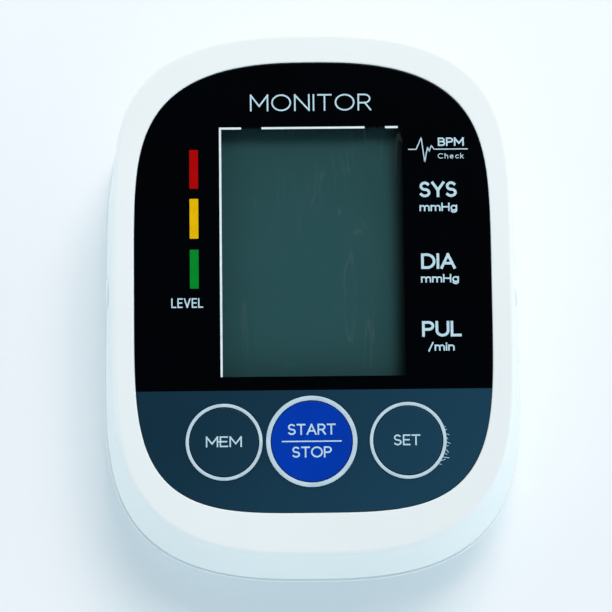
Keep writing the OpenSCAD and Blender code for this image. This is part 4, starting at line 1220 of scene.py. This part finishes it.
class MONITOR_OT_front_panel(Operator):
    """Build the front panel, black round the display and slate round the keys"""

    bl_idname = "monitor.front_panel"
    bl_label = "Front panel"

    def execute(self, context):
        chamfer = context.scene.monitor_sizes.panel_chamfer / MM
        steps = ((0, SHELF_TOP), (0, PANEL_TOP - chamfer), (-chamfer * 0.3, PANEL_TOP - chamfer * 0.3))
        sheet = loft([deck(panel_line(grow), w) for grow, w in (*steps, (-chamfer, PANEL_TOP))])
        low, high = SHELF_TOP - 1, PANEL_TOP + 1
        window = rounded_box((WINDOW_U, WINDOW_V), WINDOW_HALF_W, WINDOW_HALF_L, 0.25)
        cuts = [on_deck(slab(window, low, high))]
        for u, ring_r, _ in KEYS.values():
            cuts.append(on_deck(disc(ring_r + RING_GAP, low, high, ROUND_STEPS), u, KEY_V))
        carving = [("DIFFERENCE", joined(cuts))]
        looks = ["black panel print", "slate panel print"]
        colouring = self.split_colours
        make("panel_sheet", sheet, "housing", "panel_print", ["front_panel"], carving, looks, colouring)
        return {"FINISHED"}

    def split_colours(self, piece):
        """Cuts the faces along the colour change and gives the front part the second material."""
        shape = bmesh.new()
        shape.from_mesh(piece.data)
        line = Vector(deck([(0, SLATE_EDGE)], 0)[0] * MM)
        rearwards = Vector((0, math.cos(TILT), math.sin(TILT)))
        everything = shape.verts[:] + shape.edges[:] + shape.faces[:]
        bmesh.ops.bisect_plane(shape, geom=everything, plane_co=line, plane_no=rearwards)
        for face in shape.faces:
            if (face.calc_center_median() - line).dot(rearwards) < 0:
                face.material_index = 1
        shape.to_mesh(piece.data)
        shape.free()


class MONITOR_OT_display(Operator):
    """Build the clear display window"""

    bl_idname = "monitor.display"
    bl_label = "Display window"

    def execute(self, context):
        line = rounded_box((WINDOW_U, WINDOW_V), WINDOW_HALF_W - 0.01, WINDOW_HALF_L - 0.01, 0.24)
        pane = on_deck(slab(line, SHELF_TOP + 0.01, PANEL_TOP))
        make("clear_pane", pane, "housing", "clear_window", ["display_window"])
        self.window_print(context.scene.monitor_sizes.print_height / MM)
        return {"FINISHED"}

    def window_print(self, thick):
        """White line along the left and rear edges of the window, and a black border at the front."""
        low, high = PANEL_TOP - PRINT_SINK, PANEL_TOP + thick
        left, right = WINDOW_U - WINDOW_HALF_W, WINDOW_U + WINDOW_HALF_W
        front, rear = WINDOW_V - WINDOW_HALF_L, WINDOW_V + WINDOW_HALF_L
        bars = [(left, left + RIM_LINE, front + 0.6, rear - RIM_LINE)]
        ends = [left, *[middle + side * GAP_HALF for middle in LINE_GAPS for side in (-1, 1)], right - 1.0]
        bars += [(a, b, rear - RIM_LINE, rear) for a, b in zip(ends[::2], ends[1::2])]
        parts = []
        for x0, x1, y0, y1 in bars:
            middle = ((x0 + x1) / 2, (y0 + y1) / 2)
            parts.append(box_slab(middle, (x1 - x0) / 2, (y1 - y0) / 2, low, high, 0.08, 0.01))
        lines = on_deck(joined(parts))
        make("window_lines", lines, "housing", "panel_print", looks=["window line print"])
        border = box_slab((WINDOW_U, front + 0.3), WINDOW_HALF_W, 0.3, low, high - 0.01, 0.05, 0.005)
        make("window_border", on_deck(border), "housing", "panel_print")


class MONITOR_OT_keys(Operator):
    """Build the three keys, their rings and the wear beside the right-hand ring"""

    bl_idname = "monitor.keys"
    bl_label = "Keys"

    def execute(self, context):
        under = SHELF_BOTTOM - 1.3
        crest = PANEL_TOP + 0.36
        soft = 0.25
        for name, (u, ring_r, ring_w) in KEYS.items():
            r = ring_r - ring_w - KEY_GAP
            profile = [(0, PLUNGER_TOP), (2.0, PLUNGER_TOP), (2.0, under), (r + KEY_FLANGE - 0.1, under)]
            profile += [(r + KEY_FLANGE, under + 0.1), (r + KEY_FLANGE, under + 0.9)]
            profile += [(r + KEY_FLANGE - 0.1, under + 1.0)]
            profile += [(r, under + 1.0), (r, KEY_TOP - soft)]
            for t in (0.4, 0.8, 1.2):
                profile.append((r - soft * (1 - math.cos(t)), KEY_TOP - soft * (1 - math.sin(t))))
            profile += [(r - soft, KEY_TOP), (r * 0.6, KEY_TOP), (0, KEY_TOP)]
            cap = on_deck(lathe(profile, ROUND_STEPS), u, KEY_V)
            make(f"{name}_cap", cap, f"{name}_key", KEY_SLOTS[name], [f"{name}_button"])
            inner = ring_r - ring_w
            ring = [(inner, SHELF_TOP), (ring_r, SHELF_TOP), (ring_r, crest - 0.1)]
            ring += [(ring_r - 0.03, crest - 0.03), (ring_r - 0.1, crest), (inner + 0.1, crest)]
            ring += [(inner + 0.03, crest - 0.03), (inner, crest - 0.1)]
            trim = on_deck(lathe(ring, ROUND_STEPS), u, KEY_V)
            make(f"{name}_trim", trim, "housing", "ring_silver", [f"{name}_ring"])
        self.ring_wear()
        return {"FINISHED"}

    def ring_wear(self):
        """Short pale scrapes on the panel beside the ring of the right-hand key."""
        u, ring_r, _ = KEYS["set"]
        low, high = PANEL_TOP - PRINT_SINK, PANEL_TOP + 0.015
        parts = []
        # Where each scrape starts round the ring in degrees, its length, and how far it leans aside
        scrapes = ((20, 0.25, -0.4), (15, 0.35, 0.2), (9, 0.6, -0.5), (3, 0.35, -1.0), (-3, 0.8, -0.4))
        scrapes += ((-9, 0.4, 0.4), (-14, 0.9, -0.7), (-20, 0.5, -0.2), (-26, 1.3, 0.3), (-32, 0.9, 0.9))
        scrapes += ((-38, 0.5, 0.5),)
        for degrees, length, bend in scrapes:
            turn = math.radians(degrees)
            away = np.array([math.cos(turn), math.sin(turn)])
            start = np.array([u, KEY_V]) + away * (ring_r + 0.12)
            lean = np.array([math.cos(turn + bend), math.sin(turn + bend)])
            top = high + 0.001 * (len(parts) % 3)
            parts.append(stroke_part([start, start + lean * length], SCRAPE_HALF_W, low, top))
        make("panel_scrapes", on_deck(joined(parts)), "housing", "panel_print", looks=["white print"])


class MONITOR_OT_lettering(Operator):
    """Print the words, the level bars and the pulse sign on the panel"""

    bl_idname = "monitor.lettering"
    bl_label = "Panel print"

    def execute(self, context):
        low, high = PANEL_TOP - PRINT_SINK, PANEL_TOP + context.scene.monitor_sizes.print_height / MM
        readings = []
        # Each word with its left, right, bottom and top on the panel, and the width of its strokes
        for text, *place in (
            ("SYS", 25.1, 33.95, 21.8, 25.5, 0.62),
            ("mmHg", 25.15, 33.95, 18.5, 20.45, 0.34),
            ("DIA", 25.3, 33.35, 4.85, 8.5, 0.62),
            ("mmHg", 25.2, 34.05, 1.65, 3.6, 0.34),
            ("PUL", 25.25, 34.45, -11.05, -7.4, 0.62),
            ("/min", 26.6, 32.75, -14.35, -12.4, 0.34),
        ):
            readings += words(text, *place, low, high)
        self.print_piece("reading_words", readings)
        self.print_piece("title_words", words("MONITOR", -14.3, 14.2, 42.6, 46.6, 0.36, low, high))
        self.print_piece("level_word", words("LEVEL", -33.0, -25.6, -3.75, -1.5, 0.3, low, high, 0.34))
        line = [(22.8, 33.2), (24.6, 33.2), (25.8, 36.0), (26.55, 30.2), (27.25, 33.65), (27.65, 32.7)]
        line += [(28.15, 34.1), (28.75, 33.2), (36.6, 33.2)]
        pulse = [stroke_part(pair, 0.12, low, high) for pair in zip(line[:-1], line[1:])]
        pulse += words("BPM", 29.7, 35.8, 33.95, 35.95, 0.36, low, high)
        pulse += words("Check", 29.65, 35.7, 30.95, 32.2, 0.17, low, high, 0.42)
        self.print_piece("pulse_sign", pulse)
        for name, bottom, top in (("high", 24.3, 33.5), ("raised", 12.5, 21.9), ("normal", 0.75, 9.9)):
            bar = box_slab((-27.62, (bottom + top) / 2), 1.02, (top - bottom) / 2, low, high, 0.12, 0.01)
            self.print_piece(f"{name}_level_bar", [bar], f"{name} level print")
        return {"FINISHED"}

    def print_piece(self, name, parts, ink="white print"):
        make(name, on_deck(joined(parts)), "housing", "panel_print", looks=[ink])


class MONITOR_OT_key_lettering(Operator):
    """Print the words on the keys, so that they move with them"""

    bl_idname = "monitor.key_lettering"
    bl_label = "Key print"

    def execute(self, context):
        low, high = KEY_TOP - PRINT_SINK, KEY_TOP + context.scene.monitor_sizes.print_height / MM
        v = KEY_V
        u = KEYS["start"][0]
        start = words("START", u - 5.55, u + 5.55, v + 1.5, v + 4.05, 0.36, low, high)
        start += words("STOP", u - 4.6, u + 4.6, v - 3.75, v - 1.2, 0.36, low, high)
        start.append(stroke_part([(u - 6.8, v), (u + 6.8, v)], 0.15, low, high))
        mem = words("MEM", -25.15, -16.85, v - 1.15, v + 1.35, 0.33, low, high)
        mem.append(stroke_part([(-22.3, v + 0.1), (-21.6, v + 0.1)], 0.17, low, high))
        setting_word = words("SET", 18.2, 24.4, v - 1.15, v + 1.35, 0.33, low, high)
        for name, parts in (("start", start), ("mem", mem), ("set", setting_word)):
            print_part = on_deck(joined(parts))
            make(f"{name}_words", print_part, f"{name}_key", KEY_SLOTS[name], looks=["white print"])
        return {"FINISHED"}


class MONITOR_OT_sockets(Operator):
    """Build the hose socket and the power inlet"""

    bl_idname = "monitor.sockets"
    bl_label = "Sockets"

    def execute(self, context):
        self.hose_socket()
        self.power_inlet()
        low, high = (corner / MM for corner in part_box("power_pin"))
        length = high.x - low.x
        profile = [(0, 0), (1.02, 0), (1.02, length - 0.5), (0.75, length - 0.12), (0.4, length), (0, length)]
        pin = lathe(profile, 48)
        make("inlet_pin", along_x(pin, (low.x, PORT_Y, PORT_Z)), "housing", "nickel", ["power_pin"])
        return {"FINISHED"}

    def hose_socket(self):
        """Turned socket with a flange behind the wall and a stem for the inner tube."""
        low, high = (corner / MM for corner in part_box("air_socket"))
        reach = high.x - low.x
        flange = -(FLANGE_X - abs(low.x))
        profile = [(0, reach), (3.6, reach), (3.6, flange + 1.4), (5.4, flange + 1.4), (5.4, flange)]
        profile += [(4.0, flange), (4.0, 0.35), (3.65, 0.0), (2.75, 0.0), (2.2, 0.5), (2.2, 10.0)]
        profile += [(0.8, 10.0), (0.8, reach - 3), (0, reach - 3)]
        socket = along_x(lathe(profile, 96), (low.x, PORT_Y, PORT_Z))
        end = high.y - PORT_Y
        start = (high.x - 2.8, PORT_Y, PORT_Z)
        stem = lathe([(0, 0), (2.2, 0), (2.2, 4.2), (1.6, 4.2), (1.6, end - 0.5), (1.35, end), (0, end)], 64)
        passage = along_y(disc(0.8, 0, end + 1, 32), start)
        carving = [("UNION", along_y(stem, start)), ("DIFFERENCE", passage)]
        make("hose_socket", socket, "housing", "white_abs", ["air_socket"], carving)

    def power_inlet(self):
        """Block with a round barrel through the wall, bored for the plug."""
        low, high = (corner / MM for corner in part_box("power_socket"))
        depth = 9.0
        block_w = 9.5
        middle = (low.x + block_w / 2, (low.y + high.y) / 2)
        half_l = (high.y - low.y) / 2
        block = box_slab(middle, block_w / 2, half_l, low.z, PORT_Z + 4.2, 0.4, 0.2)
        root = low.x + block_w - 1.0
        length = high.x - root
        barrel = lathe([(0, 0), (4.0, 0), (4.0, length - 0.35), (3.65, length), (0, length)], 96)
        bore = lathe([(0, -0.5), (3.2, -0.5), (3.2, 0), (2.9, 0.3), (2.9, depth), (0, depth)], 96)
        carving = [("UNION", along_x(barrel, (root, PORT_Y, PORT_Z)))]
        carving.append(("DIFFERENCE", along_x(bore, (high.x, PORT_Y, PORT_Z), -1)))
        make("power_inlet", block, "housing", "white_abs", ["power_socket"], carving)


class MONITOR_OT_batteries(Operator):
    """Build the four cells and their springs"""

    bl_idname = "monitor.batteries"
    bl_label = "Batteries"

    def execute(self, context):
        low, high = (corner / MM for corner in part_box("batteries"))
        profile = [(0, 0), (2.3, 0), (2.7, 0.35), (2.75, 1.15), (3.6, 1.3), (5.4, 1.35), (6.2, 1.15)]
        profile += [(6.9, 1.2), (7.2, 1.6), (CELL_R, 2.2), (CELL_R, 49.6), (7.1, 50.1), (6.6, 50.35)]
        profile += [(6.0, 50.3), (5.6, 50.45), (4.6, CELL_L), (0, CELL_L)]
        reach = BAY_HALF - 0.4 - WIRE_R - 0.05
        span = 2 * BAY_HALF - 0.8 - CELL_L - 2 * WIRE_R - 0.1
        share = np.linspace(0, 1, SPRING_TURNS * 24 + 1)
        turn = share * SPRING_TURNS * 2 * math.pi
        radius = 5 - 2 * share
        cells, springs = [], []
        for k, y in enumerate(CELL_ROWS):
            side = 1 if k % 2 == 0 else -1
            tip = high.x if side > 0 else low.x
            cells.append(along_x(lathe(profile, 64), (tip, y, CELL_Z), -side))
            across = side * (span * share - reach)
            path = np.column_stack([across, y + radius * np.cos(turn), CELL_Z + radius * np.sin(turn)])
            springs.append(sweep(path, WIRE_R, 10, (1, 0, 0)))
        looks = ["cell sleeve", "cell band", "tinned steel"]
        make("cells", joined(cells), "housing", "cell_wrap", ["batteries"], (), looks, self.wrap)
        make("contact_springs", joined(springs), "housing", "nickel", ["battery_springs"])
        return {"FINISHED"}

    def wrap(self, piece):
        """Printed sleeve on the barrel, a second colour towards the button, and bare metal ends."""
        low, high = (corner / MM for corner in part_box("batteries"))
        for face in piece.data.polygons:
            x, y, z = (c / MM for c in face.center)
            row = min(range(4), key=lambda k: abs(CELL_ROWS[k] - y))
            away = math.hypot(y - CELL_ROWS[row], z - CELL_Z)
            from_tip = high.x - x if row % 2 == 0 else x - low.x
            if away < CELL_R - 0.6 or from_tip < 1.7:
                face.material_index = 2
            elif from_tip < 14:
                face.material_index = 1


class MONITOR_OT_inner_parts(Operator):
    """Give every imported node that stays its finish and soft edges"""

    bl_idname = "monitor.inner_parts"
    bl_label = "Inner parts"

    def execute(self, context):
        slots = {part["node"]: part["material_slot"] for part in frame["record"]["subparts"]}
        for name, node in frame["nodes"].items():
            if node.hide_render:
                continue
            slot = slots.get(name)
            if slot not in SLOTS:
                raise RuntimeError(f"no finish for {name} with slot {slot}")
            material = finished(SLOTS[slot])
            if node.material_slots:
                for place in node.material_slots:
                    place.material = material
            else:
                node.data.materials.append(material)
            weld = node.modifiers.new("weld", "WELD")
            weld.merge_threshold = WELD_DISTANCE * MM
            edge = node.modifiers.new("soft edge", "BEVEL")
            edge.width = INNER_EDGE * MM
            edge.segments = 2
            edge.limit_method = "ANGLE"
            edge.angle_limit = math.radians(50)
        return {"FINISHED"}


class MONITOR_PT_sidebar(Panel):
    """Lists the steps that build the monitor"""

    bl_label = "Blood pressure monitor"
    bl_idname = "MONITOR_PT_sidebar"
    bl_space_type = "VIEW_3D"
    bl_region_type = "UI"
    bl_category = "Monitor"

    def draw(self, context):
        for step in STEPS:
            self.layout.operator(step.bl_idname)
        for part in ("sizes", "colours", "stage"):
            settings = getattr(context.scene, "monitor_" + part)
            box = self.layout.box()
            for name in settings.bl_rna.properties.keys():
                if name not in ("rna_type", "name"):
                    box.prop(settings, name)


STEPS = (
    MONITOR_OT_stage,
    MONITOR_OT_top_housing,
    MONITOR_OT_bottom_housing,
    MONITOR_OT_battery_door,
    MONITOR_OT_underside,
    MONITOR_OT_front_panel,
    MONITOR_OT_display,
    MONITOR_OT_keys,
    MONITOR_OT_lettering,
    MONITOR_OT_key_lettering,
    MONITOR_OT_sockets,
    MONITOR_OT_batteries,
    MONITOR_OT_inner_parts,
)
CLASSES = (MONITOR_PG_sizes, MONITOR_PG_colours, MONITOR_PG_stage, *STEPS, MONITOR_PT_sidebar)


def register():
    for cls in CLASSES:
        bpy.utils.register_class(cls)
    bpy.types.Scene.monitor_sizes = PointerProperty(type=MONITOR_PG_sizes)
    bpy.types.Scene.monitor_colours = PointerProperty(type=MONITOR_PG_colours)
    bpy.types.Scene.monitor_stage = PointerProperty(type=MONITOR_PG_stage)


def unregister():
    del bpy.types.Scene.monitor_stage
    del bpy.types.Scene.monitor_colours
    del bpy.types.Scene.monitor_sizes
    for cls in reversed(CLASSES):
        bpy.utils.unregister_class(cls)


def main():
    register()
    for step in STEPS:
        group, name = step.bl_idname.split(".")
        getattr(getattr(bpy.ops, group), name)()
    bpy.context.view_layer.update()


if __name__ == "__main__":
    main()
